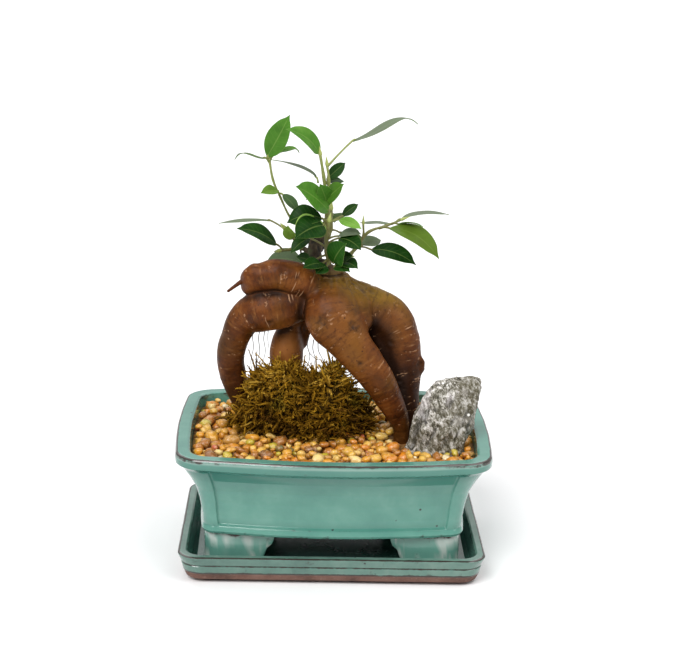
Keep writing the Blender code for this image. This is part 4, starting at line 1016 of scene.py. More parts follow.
def make_roots():
    """Tubes, merged, drawn onto the soft union, trimmed by the bark's height, then roughened."""
    parts = [tube(domed(s[:, :4]), ROOT_SIDES) for s in ROOT_SAMPLES]
    points, quads = skinned(parts, ROOT_VOXEL)
    for _ in range(3):
        distance, way, nearest, row = root_field(points)
        points = points - 0.9 * (distance + ROOT_TRIM)[:, None] * way
    height, ring = bark_relief(points, nearest, row)
    buried = soft_step(points[:, 2], 60, 66)
    points = points + way * (height * buried)[:, None]
    near_crown = np.hypot(points[:, 0] - CROWN[0], points[:, 1] - CROWN[1]) < CROWN_RADIUS + 2
    z = points[:, 2]
    flattened = np.minimum(z, CROWN_TOP + 0.8 * np.tanh(np.maximum(z - CROWN_TOP, 0) / 4))
    points[:, 2] = np.maximum(np.where(near_crown, flattened, z), ROOT_FOOT)
    roots = mesh_piece("swollen_roots", points, [quads])
    # Painted shade in creases: the less open air within reach along the normal, the darker.
    open_air = root_field(points + CREASE_REACH * way)[0]
    paint(roots, ring=ring, crease=np.clip(1 - open_air / CREASE_REACH, 0, 1) ** 1.6)
    paint_root_tones(roots, points)
    map_roots(roots, points, quads, nearest)
    return roots


# %% Tones and pattern map of the roots
MEAN_RADIUS = 10.0
LIGHT_SPOTS = [
    # middle, half widths, strength: painted light, paler bark where light falls on the front and
    # right roots and on the shaded middle root
    ((0, -24, 140), (16, 14, 22), 0.9), ((14, -25, 122), (14, 12, 20), 0.55),
    ((34, -2, 138), (12, 12, 11), 0.85),
    ((-27, 2, 115), (12, 14, 17), 0.95), ((-30, -14, 166), (18, 9, 6), 0.3),
    ((24, -18, 106), (9, 9, 12), 0.3),
]
# Painted light on the middle root, which lies in the shadow of the others.
LIFT_SPOTS = [((-27, 2, 116), (13, 14, 20), 1.0)]
OCHRE_SPOTS = [((14, 8, 157), (24, 15, 8), 1.1), ((-3, 2, 164), (14, 12, 8), 0.9),
               ((30, 14, 152), (16, 14, 8), 0.6)]
# middle, half widths, strength: painted shade on the roots' shaded sides, undersides and neck
DARK_SPOTS = [((42, -3, 96), (12, 11, 26), 1.25), ((-61, 2, 122), (9, 14, 24), 0.6),
              ((-53, 4, 88), (10, 12, 18), 0.8),
              ((29, -3, 116), (6, 9, 26), 1.3), ((22, -3, 138), (4, 7, 9), 0.9),
              ((-12, 0, 132), (10, 14, 9), 0.6), ((-24, 8, 144), (11, 10, 6), 0.8)]


def spots(points, table):
    """Sum of soft ellipsoids: strength * exp(-|offset / half widths|^2)."""
    return sum(k * np.exp(-((((points - m) / w) ** 2).sum(axis=1))) for m, w, k in
               ((np.array(m), np.array(w), k) for m, w, k in table))


def paint_root_tones(roots, points):
    """One layer for each tone: its spots with more or less of the same soft cloud, from 0 to 1."""
    blur = 0.18 * clouds(points, 11, 31)
    pits = [(place, (1.15 * radius,) * 3, 1.2 * abs(depth)) for place, radius, depth in SCARS]
    tones = {"light": (LIGHT_SPOTS, 1), "lift": (LIFT_SPOTS, 0), "ochre": (OCHRE_SPOTS, 1),
             "dark": (DARK_SPOTS, 0.5), "scar": (pits, 0)}
    paint(roots, **{name: np.clip(spots(points, table) + share * blur, 0, 1)
                    for name, (table, share) in tones.items()})


def map_roots(roots, points, quads, nearest):
    """A UV map in metres: distance along the run, and angle times a mean radius round it.

    Each quad is mapped on the run nearest to its first corner, so that none is torn."""
    owner = np.repeat(nearest[quads[:, 0]], 4)
    corner = quads.ravel()
    uv = np.zeros((len(corner), 2))
    for k, samples in enumerate(ROOT_SAMPLES):
        mine = owner == k
        if not mine.any():
            continue
        p = points[corner[mine]]
        c = samples[:, :3]
        best = ((p**2).sum(1)[:, None] + (c**2).sum(1)[None] - 2 * p @ c.T).argmin(axis=1)
        tangent, side, other = frames(c)
        off = p - c[best]
        s = samples[best, 4] + (off * tangent[best]).sum(1)
        angle = np.arctan2((off * other[best]).sum(1), (off * side[best]).sum(1)).reshape(-1, 4)
        angle = np.where(angle - angle[:, :1] > math.pi, angle - 2 * math.pi, angle)
        angle = np.where(angle - angle[:, :1] < -math.pi, angle + 2 * math.pi, angle)
        uv[mine] = np.column_stack([s, angle.ravel() * MEAN_RADIUS]) * MM
    map_piece(roots, "along_root", uv)


# %% Root bark finish
BARK_DRIFT = (0.003, 0.003, 0.0)  # how far the pattern wanders on the UV map, in metres


def root_bark():
    """Thin satin bark: red brown, with pale cracks across the root. Painted light makes it paler
    where light falls and on the shaded middle root; painted shade darkens shaded sides and creases.
    """
    look = Finish("root_bark", Specular_IOR_Level=0.14)
    where = look.place()
    cloud = look.noise(where, 70, 5, 0.6)
    body = look.ramp(cloud, (0.32, (0.036, 0.009, 0.0015)), (0.5, (0.104, 0.027, 0.004)),
                     (0.68, (0.185, 0.058, 0.010)))
    # Painted light: paler where light falls on the roots' fronts and on the shaded middle root.
    body = look.mix(look.times(look.painted("light"), 0.8), body, (0.185, 0.066, 0.013))
    body = look.mix(look.painted("ochre"), body, (0.225, 0.118, 0.009))
    uv = look.uv("along_root")
    across = look.scaled(uv, (420.0, 70.0, 1.0))
    wrinkle = look.noise(across, 1.0, 4, 0.62)
    fine = look.noise(where, 420, 3, 0.6)
    grime = look.times(look.plus(look.band(wrinkle, 0.5, 0.68), look.band(fine, 0.5, 0.7)), 0.5)
    body = look.mix(look.times(grime, 0.85), body, (0.034, 0.0095, 0.003))
    body = look.mix(look.times(look.band(wrinkle, 0.46, 0.3), 0.55), body, (0.26, 0.105, 0.028))
    # More painted light on the shaded middle root.
    body = look.mix(look.times(look.painted("lift"), 0.95), body, (0.36, 0.135, 0.032))
    # Painted shade where the roots lie in shadow.
    body = look.mix(look.times(look.painted("dark"), 0.9), body, (0.016, 0.005, 0.002))
    # Painted shade in the creases between roots.
    body = look.mix(look.times(look.band(look.painted("crease"), 0.0, 0.75), 0.92), body,
                    (0.014, 0.005, 0.002))
    drift = look.add("TexNoise", {"Vector": where, "Scale": 90.0}).outputs["Color"]
    drift = look.add("VectorMath", {0: drift, 1: BARK_DRIFT}, operation="MULTIPLY").outputs[0]
    bent = look.add("VectorMath", {0: uv, 1: drift}, operation="ADD").outputs[0]
    dashes = look.scaled(bent, (760.0, 62.0, 1.0))
    cell = look.add("TexVoronoi", {"Vector": dashes, "Scale": 1.0, "Randomness": 1.0},
                    voronoi_dimensions="2D")
    pick = look.band(look.part_of(cell.outputs["Color"], "X"), 0.76, 0.84)
    line = look.times(look.band(cell.outputs["Distance"], 0.34, 0.16), pick)
    patch = look.band(look.noise(where, 48, 2), 0.52, 0.62)
    scratch = look.times(line, patch)
    crack = look.times(look.band(look.painted("ring"), 0.45, 0.9),
                       look.band(look.noise(where, 600, 2), 0.4, 0.6))
    pale = look.sums("MAXIMUM", look.times(scratch, 0.65), look.times(crack, 0.55))
    body = look.mix(pale, body, (0.50, 0.28, 0.15))
    dots = look.cells(where, 260.0)
    dot = look.times(look.band(dots, 0.16, 0.08), look.band(look.noise(where, 90, 1), 0.55, 0.62))
    body = look.mix(dot, body, (0.03, 0.012, 0.007))
    crumb = look.times(look.painted("scar"), look.sums("MULTIPLY_ADD", fine, 2.4, -0.35))
    body = look.mix(crumb, body, (0.018, 0.009, 0.005))
    look.feed(Roughness=look.ramp(cloud, (0.3, 0.38), (0.7, 0.52)))
    grain = look.noise(look.scaled(bent, (900.0, 260.0, 1.0)), 1.0, 3)
    return look.done(body, (grain, 0.35, 0.25), (fine, 0.4, 0.35), (wrinkle, 0.45, 0.6),
                     (pale, 0.25, 0.2))


bark = root_bark()
finish_piece(make_roots(), [bark], "root_bark", "roots")

# %% [markdown]
# Pea gravel
#
# The soil is covered with loose rounded pebbles of 3 to 12 mm. Scattering copies by hand leaves
# some hanging and some sunk in each other, and a physics run would take minutes. Here each pebble
# is dropped instead: a height map of the bed says how high its underside can sink at a few random
# places, it settles in the lowest of them, and the map rises by its upper half.

# %% Bed of pebbles
BED_FLOOR = 68.3
BED_RISE = 1.2
BED_BOTTOM = 67.6
BED_SHARES = (1.0, 0.97, 0.85, 0.6, 0.3, 0.02)
MAP_STEP = 0.5
MAP_HALF_X, MAP_HALF_Y = 84.0, 66.0
BLOCKED = 200.0
PEBBLES = 1050
PEBBLE_TRIES = 14
LARGE_SHARE = 0.4
LARGE_HALVES, SMALL_HALVES = (3.2, 5.2), (1.8, 3.3)
PEBBLE_SWELL = 1.06
PEBBLE_HIGHEST = 75.9
STONE_FOOT = [(39.4, -26.5), (46.0, -32.0), (63.0, -34.0), (73.2, -30.5),
              (76.2, -22.0), (70.0, -14.0), (52.0, -12.5), (41.0, -17.0)]
ROOT_HOLES = [((-51.5, 10.0), 7.6), ((-24.5, 15.0), 7.2), ((39.5, -8.5), 6.6), ((42.3, -4.0), 6.6),
              ((45.0, 1.0), 6.8)]
MOSS_CENTRE_X = -19.5
MOSS_HALF_X, MOSS_HALF_Y = 41.0, 12.5
MOSS_LINE = [(-60, 5.0), (-43, 2.5), (-31, 0.5), (-19, -4.0), (-4, -8.5), (10, -1.5), (26, 3.0)]


def inside_polygon(x, y, outline):
    """True for points inside the outline: an odd number of its edges crosses a ray to the right."""
    inside = np.zeros(np.shape(x), bool)
    for (ax, ay), (bx, by) in zip(outline, np.roll(outline, -1, axis=0)):
        crosses = (ay > y) != (by > y)
        inside ^= crosses & (x < (bx - ax) * (y - ay) / (by - ay if by != ay else 1e-9) + ax)
    return inside


def moss_middle(x):
    """The clump's middle line through typed places, back at both ends and bulging to the front."""
    return np.interp(x, *np.transpose(MOSS_LINE))


def moss_edge(turn):
    """How far the clump's uneven edge reaches in each direction, as a share of an ellipse."""
    return 1 + 0.06 * np.sin(3 * turn + 0.6) + 0.04 * np.sin(5 * turn)


def moss_share(x, y):
    """1 at the moss clump's uneven edge and 0 in its middle."""
    dx, dy = (x - MOSS_CENTRE_X) / MOSS_HALF_X, (y - moss_middle(x)) / MOSS_HALF_Y
    return np.hypot(dx, dy) / moss_edge(np.arctan2(dy, dx))


def bed_map():
    """The height map before any pebble: flat floor, with rim, stone, root feet and moss blocked."""
    x, y = np.meshgrid(*[np.arange(-half, half, MAP_STEP) for half in (MAP_HALF_X, MAP_HALF_Y)],
                       indexing="ij")
    rim = inner_rim()
    ground = np.full(x.shape, BED_FLOOR)
    ground[~inside_polygon(x, y, rim)] = BLOCKED
    ground[inside_polygon(x, y, np.array(STONE_FOOT))] = BLOCKED
    ground[moss_share(x, y) < 0.8] = BLOCKED
    for (cx, cy), radius in ROOT_HOLES:
        ground[np.hypot(x - cx, y - cy) < radius] = BLOCKED
    return ground


def rounded_cube():
    """A cube with each side cut in four and drawn onto a sphere: 26 points and 24 quads."""
    steps = (-1, 0, 1)
    places = [(x, y, z) for x in steps for y in steps for z in steps if (x, y, z) != (0, 0, 0)]
    number = {place: k for k, place in enumerate(places)}
    quads = []
    for axis in range(3):
        for sign in (-1, 1):
            for a in (-1, 0):
                for b in (-1, 0):
                    ring = [(a, b), (a + 1, b), (a + 1, b + 1), (a, b + 1)][::sign]
                    quads.append([number[tuple(np.insert(corner, axis, sign))] for corner in ring])
    points = np.array(places, float)
    points /= np.linalg.norm(points, axis=1)[:, None] ** 0.85
    quads = np.array(quads)
    a, b, c = points[quads[:, 0]], points[quads[:, 1]], points[quads[:, 2]]
    inward = (np.cross(b - a, c - a) * a).sum(axis=1) < 0
    quads[inward] = quads[inward][:, ::-1]
    return points, quads


def settle_pebbles(rng):
    """Drops the pebbles one by one. Returns their places, half sizes and turns about +Z."""
    ground = bed_map()
    free = np.argwhere(ground < BLOCKED)
    placed = []
    for _ in range(PEBBLES):
        large = rng.random() < LARGE_SHARE
        a = rng.uniform(*LARGE_HALVES) if large else rng.uniform(*SMALL_HALVES)
        b, c = a * rng.uniform(0.62, 0.95), a * rng.uniform(0.5, 0.78)
        turn = rng.uniform(0, math.pi)
        reach = int(a / MAP_STEP) + 1
        ox, oy = np.meshgrid(*[np.arange(-reach, reach + 1) * MAP_STEP] * 2, indexing="ij")
        u = (ox * math.cos(turn) + oy * math.sin(turn)) / a
        v = (-ox * math.sin(turn) + oy * math.cos(turn)) / b
        covered = u * u + v * v < 0.98
        sag = c * np.sqrt(np.maximum(1 - u * u - v * v, 0))
        best = None
        for i, j in free[rng.integers(0, len(free), PEBBLE_TRIES)]:
            if min(i, j) < reach or i + reach >= ground.shape[0] or j + reach >= ground.shape[1]:
                continue
            under = ground[i - reach:i + reach + 1, j - reach:j + reach + 1]
            z = np.max(np.where(covered, under + 0.55 * sag, -1e9))
            if best is None or z < best[0]:
                best = (z, i, j)
        if best is None or best[0] + c > PEBBLE_HIGHEST:
            continue
        z, i, j = best
        under = ground[i - reach:i + reach + 1, j - reach:j + reach + 1]
        np.copyto(under, np.maximum(under, z + sag), where=covered & (under < BLOCKED))
        placed.append((i * MAP_STEP - MAP_HALF_X, j * MAP_STEP - MAP_HALF_Y, z, a, b, c, turn,
                       rng.random()))
    return np.array(placed)


def turned(a, b, angle):
    """The pair of coordinates (a, b) turned from a towards b."""
    return a * np.cos(angle) - b * np.sin(angle), a * np.sin(angle) + b * np.cos(angle)


def make_pebbles():
    """Every pebble is the rounded cube, squared a little, lumped, stretched, tipped and placed."""
    rng = np.random.default_rng(7)
    ball, quads = rounded_cube()
    placed = settle_pebbles(rng)
    count = len(placed)
    lumps = 1 + rng.uniform(-0.28, 0.14, (count, len(ball), 1))
    shape = np.repeat(ball[None], count, axis=0) * lumps
    shape = shape * placed[:, None, 3:6] * PEBBLE_SWELL
    tip, turn = rng.uniform(-0.35, 0.35, (count, 1)), placed[:, 6:7]
    x, y, z = np.moveaxis(shape, 2, 0)
    z, x = turned(z, x, tip)
    x, y = turned(x, y, turn)
    points = (np.stack([x, y, z], axis=2) + placed[:, None, :3]).reshape(-1, 3)
    pebbles = mesh_piece("pea_gravel", points, [copied_faces(quads, count, len(ball))])
    paint(pebbles, pick=np.repeat(placed[:, 7], len(ball)))
    print("pebbles:", count, "highest point:", round(points[:, 2].max(), 1))
    return pebbles


# %% Pebble finish
PEBBLE_COLOURS = [
    (0.0, (0.55, 0.22, 0.016)), (0.1, (0.66, 0.33, 0.032)), (0.2, (0.40, 0.14, 0.012)),
    (0.3, (0.72, 0.42, 0.06)),
    (0.4, (0.62, 0.21, 0.010)), (0.48, (0.76, 0.50, 0.12)), (0.56, (0.33, 0.12, 0.016)),
    (0.64, (0.68, 0.31, 0.022)),
    (0.73, (0.48, 0.24, 0.045)), (0.81, (0.80, 0.60, 0.22)), (0.86, (0.46, 0.09, 0.030)),
    (0.89, (0.50, 0.40, 0.035)),
    (0.935, (0.14, 0.12, 0.04)), (0.95, (0.82, 0.72, 0.45)), (0.972, (0.22, 0.09, 0.03)),
]


def pebble_polish():
    """Wet looking river pebbles: one colour each from a stepped ramp, with veins and clouds."""
    look = Finish("pebble_polish", Roughness=0.34, Coat_Weight=0.12, Coat_Roughness=0.12)
    where = look.place()
    pick = look.painted("pick")
    body = look.ramp(pick, *PEBBLE_COLOURS)
    body.node.color_ramp.interpolation = "CONSTANT"
    cloud = look.noise(where, 330, 4, 0.65)
    body = look.mix(look.band(cloud, 0.42, 0.68), body, look.mix(0.5, body, (0.42, 0.17, 0.02)))
    vein = look.band(look.sums("ABSOLUTE", look.minus(look.noise(where, 210, 3), 0.5)), 0.03, 0.0)
    body = look.mix(look.times(vein, 0.35), body, (0.85, 0.66, 0.38))
    return look.done(body, (cloud, 0.25, 0.3), (look.noise(where, 1400, 2), 0.15, 0.1))


def make_bed():
    """The ground between the pebbles, dark as painted shade in the gaps: rings from the rim inwards
    with a slow swell.
    """
    rim, shares = inner_rim(), np.array(BED_SHARES)
    rings = rim[None] * shares[:, None, None]
    levels = np.full(rings.shape[:2], BED_FLOOR + BED_RISE)
    bottom = np.concatenate([rim, np.full((len(rim), 1), BED_BOTTOM)], axis=1)
    top = np.concatenate([rings, levels[:, :, None]], axis=2).reshape(-1, 3)
    top[:, 2] += 0.3 * clouds(top, 6, 41)
    faces = loft_faces(len(shares) + 1, len(rim))
    return mesh_piece("gravel_bed", np.concatenate([bottom, top]), faces)


def dark_grit():
    """Fine sand between the pebbles, coloured dark as painted shade in the gaps."""
    look = Finish("dark_grit", Roughness=0.85)
    where = look.place()
    grain = look.noise(where, 700, 4, 0.7)
    body = look.ramp(grain, (0.35, (0.09, 0.038, 0.008)), (0.55, (0.26, 0.12, 0.025)),
                     (0.8, (0.5, 0.28, 0.07)))
    return look.done(body, (grain, 0.8, 0.6))


finish_piece(make_pebbles(), [pebble_polish()], "pea_gravel", "gravel")
finish_piece(make_bed(), [dark_grit()], "pea_gravel", "gravel")

# %% [markdown]
# Schist
#
# A broken piece of schist stands in the gravel. Schist splits along slanted layers, so its faces
# show long ridges that all run the same way, with glittering pale flecks. The lump is a loft of
# its foot outline through seven levels, and the layers are ridged noise stretched along the grain.

# %% Stone
STONE_LEVELS = [
    # height, shift in x and y, share of the foot's width and depth
    (67.5, 0.0, 0.0, 1.0, 1.0), (72.2, 0.0, 0.0, 1.0, 1.0), (84.0, 3.0, 0.2, 1.0, 0.94),
    (95.0, 6.0, 1.0, 0.96, 0.86), (103.0, 8.6, 2.0, 0.92, 0.76), (109.5, 11.2, 2.6, 0.86, 0.6),
    (112.0, 12.4, 2.9, 0.76, 0.44), (113.0, 13.0, 3.0, 0.5, 0.27), (113.2, 13.4, 3.0, 0.02, 0.02),
]
STONE_GRAIN = (0.42, -0.1, 0.9)
STONE_COLUMNS, STONE_ROWS = 150, 12
STONE_CORE_TOP = 106


def make_stone_lump():
    """Foot outline, evenly divided and scaled about its middle at each level, then roughened."""
    foot = np.array(STONE_FOOT + STONE_FOOT[:1])
    along = np.concatenate([[0], np.cumsum(np.linalg.norm(np.diff(foot, axis=0), axis=1))])
    marks = np.arange(STONE_COLUMNS) / STONE_COLUMNS * along[-1]
    outline = np.stack([np.interp(marks, along, foot[:, k]) for k in (0, 1)], axis=1)
    middle = np.mean(STONE_FOOT, axis=0)
    levels = np.array(STONE_LEVELS)
    typed = np.arange(len(levels))
    rows = np.linspace(0, typed[-1], typed[-1] * STONE_ROWS + 1)
    z, sx, sy, wide, deep = [np.interp(rows, typed, column) for column in levels.T]
    x = middle[0] + sx[:, None] + (outline[None, :, 0] - middle[0]) * wide[:, None]
    y = middle[1] + sy[:, None] + (outline[None, :, 1] - middle[1]) * deep[:, None]
    points = np.stack([x, y, np.broadcast_to(z[:, None], x.shape)], axis=2).reshape(-1, 3)
    points[:, 2] += 0.10 * (points[:, 0] - middle[0] - 8) * soft_step(points[:, 2], 95, 112)
    high = points[:, 2]
    core = [np.interp(high, z, middle[0] + sx), np.interp(high, z, middle[1] + sy),
            np.minimum(high, STONE_CORE_TOP)]
    out = unit(points - np.column_stack(core))
    grain = np.array(STONE_GRAIN) / np.linalg.norm(STONE_GRAIN)
    squeezed = points - 0.72 * (points @ grain)[:, None] * grain
    lumps = 1.6 * clouds(points, 13, 51) + 0.9 * clouds(points, 6, 52)
    ridges = 1 - 2 * np.abs(rough_clouds(squeezed, 4.2, 53, 3))
    facet = 0.9 * np.round(1.6 * clouds(squeezed, 8, 56)) / 1.6
    fine = 0.35 * clouds(points, 1.6, 57)
    height = (lumps + 0.75 * ridges + facet + fine - 1.1) * soft_step(points[:, 2], 68, 74)
    points = points + out * height[:, None]
    stone = mesh_piece("schist_stone", points, loft_faces(len(rows), STONE_COLUMNS))
    stone.data.set_sharp_from_angle(angle=math.radians(38))
    # The right side, turned away from the light, is marked for painted shade.
    slanted = points[:, 0] + 0.55 * (90 - points[:, 2]) + 3 * clouds(points, 7, 58)
    paint(stone, ridge=np.clip(0.5 + 0.45 * ridges + 0.15 * facet, 0, 1),
          split=soft_step(slanted, 58, 64))
    print("stone rows:", len(rows), "top at", round(points[:, 2].max(), 1))
    return stone


def schist():
    """Gray layers, pale on the ridges, painted shade in the clefts, pale patches as painted light
    on the left, and greener, browner and darker on the right, partly as painted shade.
    """
    look = Finish("schist", Roughness=0.62)
    where = look.place()
    layers = look.noise(look.place((1.0, 1.0, 0.45), (0, 25, 0)), 460, 6, 0.8, 0.4)
    body = look.ramp(layers, (0.40, (0.012, 0.010, 0.004)), (0.47, (0.10, 0.088, 0.055)),
                     (0.53, (0.38, 0.36, 0.31)), (0.61, (0.86, 0.83, 0.80)))
    patch = look.noise(look.place((1.0, 1.0, 0.6), (0, 25, 0)), 75, 3, 0.6)
    # Pale patches only on the left side, where light falls: painted light.
    left = look.minus(1.0, look.painted("split"))
    body = look.mix(look.times(look.band(patch, 0.5, 0.62), left), body,
                    look.mix(0.5, body, (0.52, 0.48, 0.49)))
    body = look.mix(look.band(patch, 0.48, 0.38), body, look.mix(0.5, body, (0.055, 0.045, 0.018)))
    # Browner and darker on the right: a browner tone and painted shade.
    warm = look.mix(0.5, body, (0.075, 0.060, 0.022))
    body = look.mix(look.times(look.painted("split"), 0.85), body, warm)
    bleached = look.band(look.noise(where, 85, 2), 0.58, 0.72)
    body = look.mix(look.times(bleached, 0.35), body, look.mix(0.6, body, (0.66, 0.62, 0.60)))
    # Painted shade in the clefts between the ridges.
    body = look.mix(look.band(look.painted("ridge"), 0.55, 0.15), body,
                    look.mix(0.6, body, (0.02, 0.018, 0.014)))
    flecks = look.cells(where, 300.0)
    fleck = look.times(look.band(flecks, 0.32, 0.2), look.band(look.noise(where, 95, 2), 0.6, 0.66))
    body = look.mix(fleck, body, (0.82, 0.80, 0.76))
    return look.done(body, (layers, 0.6, 0.6), (look.noise(where, 1300, 2), 0.3, 0.15))


finish_piece(make_stone_lump(), [schist()], "schist", "stone")

# %% [markdown]
# Moss
#
# The clump is dried forest moss: thousands of branching sprigs a millimetre or two thick, furred
# with tiny leaves, tangled and pointing every way. Hair particles would be the usual tool, but
# they don't export as a mesh. So each sprig is a bent, tapered three-sided spike on a dark mound,
# with short barbs along it, all worked out as one array.

# %% Mound and sprigs of moss
MOSS_HEIGHT = 35.5
MOSS_TUFT = 13.0
MOSS_BASE = 71.5
MOSS_RINGS, MOSS_COLUMNS = 26, 96
SPRIGS = 3500
SPRIG_STEPS = 5
SPRIG_LENGTHS = (3.2, 6.2)
SPRIG_SECTION = (1.0, 1.1, 1.05, 0.9, 0.35)
SPRIG_BOX = ((-80, -62, 71.6), (84, 62, 140))
SPRIG_LOWEST = 71.0
SKIRT_SHARE, FRONT_SHARE, LONG_SHARE = 0.42, 0.55, 0.12
BARBS = 11
BARB_TURN = 2.4
BARB_POINTS = 5


def moss_height(x, y):
    """A dome, height * (1 - share^2)^0.3, higher on the left, with lumps and a tuft at x = -1."""
    share = moss_share(x, y)
    lumps = 1 + 0.08 * clouds(np.column_stack([x, y, 0 * x]), 11, 61) + 0.05 * np.sin(0.21 * x + 1)
    lean = 1 - 0.24 * (x - MOSS_CENTRE_X) / MOSS_HALF_X
    dome = np.maximum(1 - share**2, 0) ** 0.3
    return dome * (MOSS_HEIGHT * lumps * lean + MOSS_TUFT * bell(x, -1.0, 7.0))


def moss_surface(x, y):
    """Points of the mound, lowered where a root runs over it."""
    points = np.column_stack([x, y, MOSS_BASE + moss_height(x, y)])
    for _ in range(5):
        distance = root_field(points)[0]
        points[:, 2] = np.maximum(points[:, 2] - np.maximum(2.0 - distance, 0) * 1.3, MOSS_BASE)
    return points


def make_moss_mound():
    """Rings from the clump's edge to its top on a flat floor, a little below the sprigs' feet."""
    shares = np.linspace(1.0, 0.02, MOSS_RINGS) ** 0.6
    turn = full_turn(MOSS_COLUMNS)
    edge = moss_edge(turn)
    x = (MOSS_CENTRE_X + MOSS_HALF_X * edge * np.cos(turn) * shares[:, None]).ravel()
    y = moss_middle(x) + (MOSS_HALF_Y * edge * np.sin(turn) * shares[:, None]).ravel()
    points = moss_surface(x, y)
    points[:, 2] = np.maximum(points[:, 2] - 2.5, MOSS_BASE)
    points += 0.9 * rough_clouds(points, 5, 62, 2)[:, None]
    floor = points[:MOSS_COLUMNS].copy()
    floor[:, 2] = MOSS_BASE - 2.0
    faces = loft_faces(MOSS_RINGS + 1, MOSS_COLUMNS)
    return mesh_piece("moss_mound", np.concatenate([floor, points]), faces)


def sprig_lines(rng):
    """Centre lines of the sprigs: start on the mound, set off outwards and bend as they go.

    A point is start + length * t * (way + bend * t), and a sprig that would enter a root is left
    out. Returns lines (sprigs, steps, 3), their sideways axes and how high they start."""
    turn, share = rng.uniform(0, 2 * math.pi, SPRIGS), np.sqrt(rng.uniform(0.02, 1.0, SPRIGS))
    skirt = rng.random(SPRIGS) < SKIRT_SHARE
    share = np.where(skirt, rng.uniform(0.9, 1.0, SPRIGS), share)
    x = MOSS_CENTRE_X + MOSS_HALF_X * share * np.cos(turn)
    off = MOSS_HALF_Y * share * np.sin(turn)
    y = moss_middle(x) + np.where(rng.random(SPRIGS) < FRONT_SHARE, -np.abs(off), off)
    start = moss_surface(x, y)
    e = 0.6
    slope = np.column_stack([(moss_height(x + e, y) - moss_height(x - e, y)) / (2 * e),
                             (moss_height(x, y + e) - moss_height(x, y - e)) / (2 * e)])
    steep = np.maximum(np.linalg.norm(slope, axis=1), 1e-6)
    slope *= np.minimum(1, 3.0 / steep)[:, None]
    out = unit(np.column_stack([-slope, np.ones(SPRIGS)]))
    drop = rng.uniform(0, 1, SPRIGS) * np.where(skirt, 1.0, soft_step(share, 0.7, 1.0))
    start[:, 2] = MOSS_BASE + (start[:, 2] - MOSS_BASE) * (1 - 0.97 * drop)
    way = unit(out + rng.normal(0, 0.62, (SPRIGS, 3)))
    bend = rng.normal(0, 0.62, (SPRIGS, 3)) + (0, 0, 0.05)
    length = rng.uniform(*SPRIG_LENGTHS, SPRIGS)
    length = length * np.where(rng.random(SPRIGS) < LONG_SHARE, 1.35, 1.0)
    t = np.linspace(0, 1, SPRIG_STEPS)[None, :, None]
    start = start - out * 1.6
    lines = start[:, None] + length[:, None, None] * t * (way[:, None] + bend[:, None] * t)
    wiggle = 0.5 * clouds(lines.reshape(-1, 3), 2.6, 63).reshape(SPRIGS, SPRIG_STEPS, 1) * t
    side = unit(np.cross(way, rng.normal(0, 1, (SPRIGS, 3))))
    lines = lines + wiggle * side[:, None]
    flat = lines[:, 1:].reshape(-1, 3)
    clear = root_field(flat)[0].reshape(SPRIGS, -1).min(axis=1) > 0.25
    lowest, highest = SPRIG_BOX
    inside = np.all((lines[:, -1] > lowest) & (lines[:, -1] < highest), axis=1)
    keep = clear & inside & (lines[:, :, 2].min(axis=1) > SPRIG_LOWEST)
    print("sprigs of moss:", int(keep.sum()))
    return lines[keep], side[keep], (start[:, 2] - MOSS_BASE)[keep]


def make_sprigs():
    """Spikes with a three-cornered section that thins towards the tip, and barbs on every step."""
    rng = np.random.default_rng(11)
    lines, side, high = sprig_lines(rng)
    count = len(lines)
    way = unit(lines[:, -1] - lines[:, 0])
    side = unit(side - way * (side * way).sum(axis=1)[:, None])
    other = np.cross(way, side)
    turn = full_turn(3)
    ring = side[:, None] * np.cos(turn)[:, None] + other[:, None] * np.sin(turn)[:, None]
    thick = rng.uniform(0.45, 0.85, count)[:, None] * np.array(SPRIG_SECTION)[None]
    spikes = lines[:, :, None] + thick[:, :, None, None] * ring[:, None]
    per = SPRIG_STEPS * 3
    ends = np.array([[0, 2, 1], [per - 3, per - 2, per - 1]])
    faces = [copied_faces(one, count, per) for one in (grid_faces(SPRIG_STEPS, 3, True), ends)]
    sprigs = mesh_piece("moss_sprigs", spikes.reshape(-1, 3), faces)
    # Painted light and shade in the sprig tone: lighter for sprigs that start higher on the mound,
    # darker for those whose tips end in a hollow of the clump.
    hollow = soft_step(clouds(lines[:, -1], 8, 64), 0.15, 0.55)
    tone = np.clip(rng.normal(0.5, 0.18, count) + 0.4 * (high / MOSS_HEIGHT - 0.45) - 0.35 * hollow,
                   0, 1)
    paint(sprigs, tone=np.repeat(tone, per),
          tip=np.tile(np.repeat(np.linspace(0, 1, SPRIG_STEPS), 3), count))
    return sprigs, make_barbs(rng, lines, way, side, other, tone)


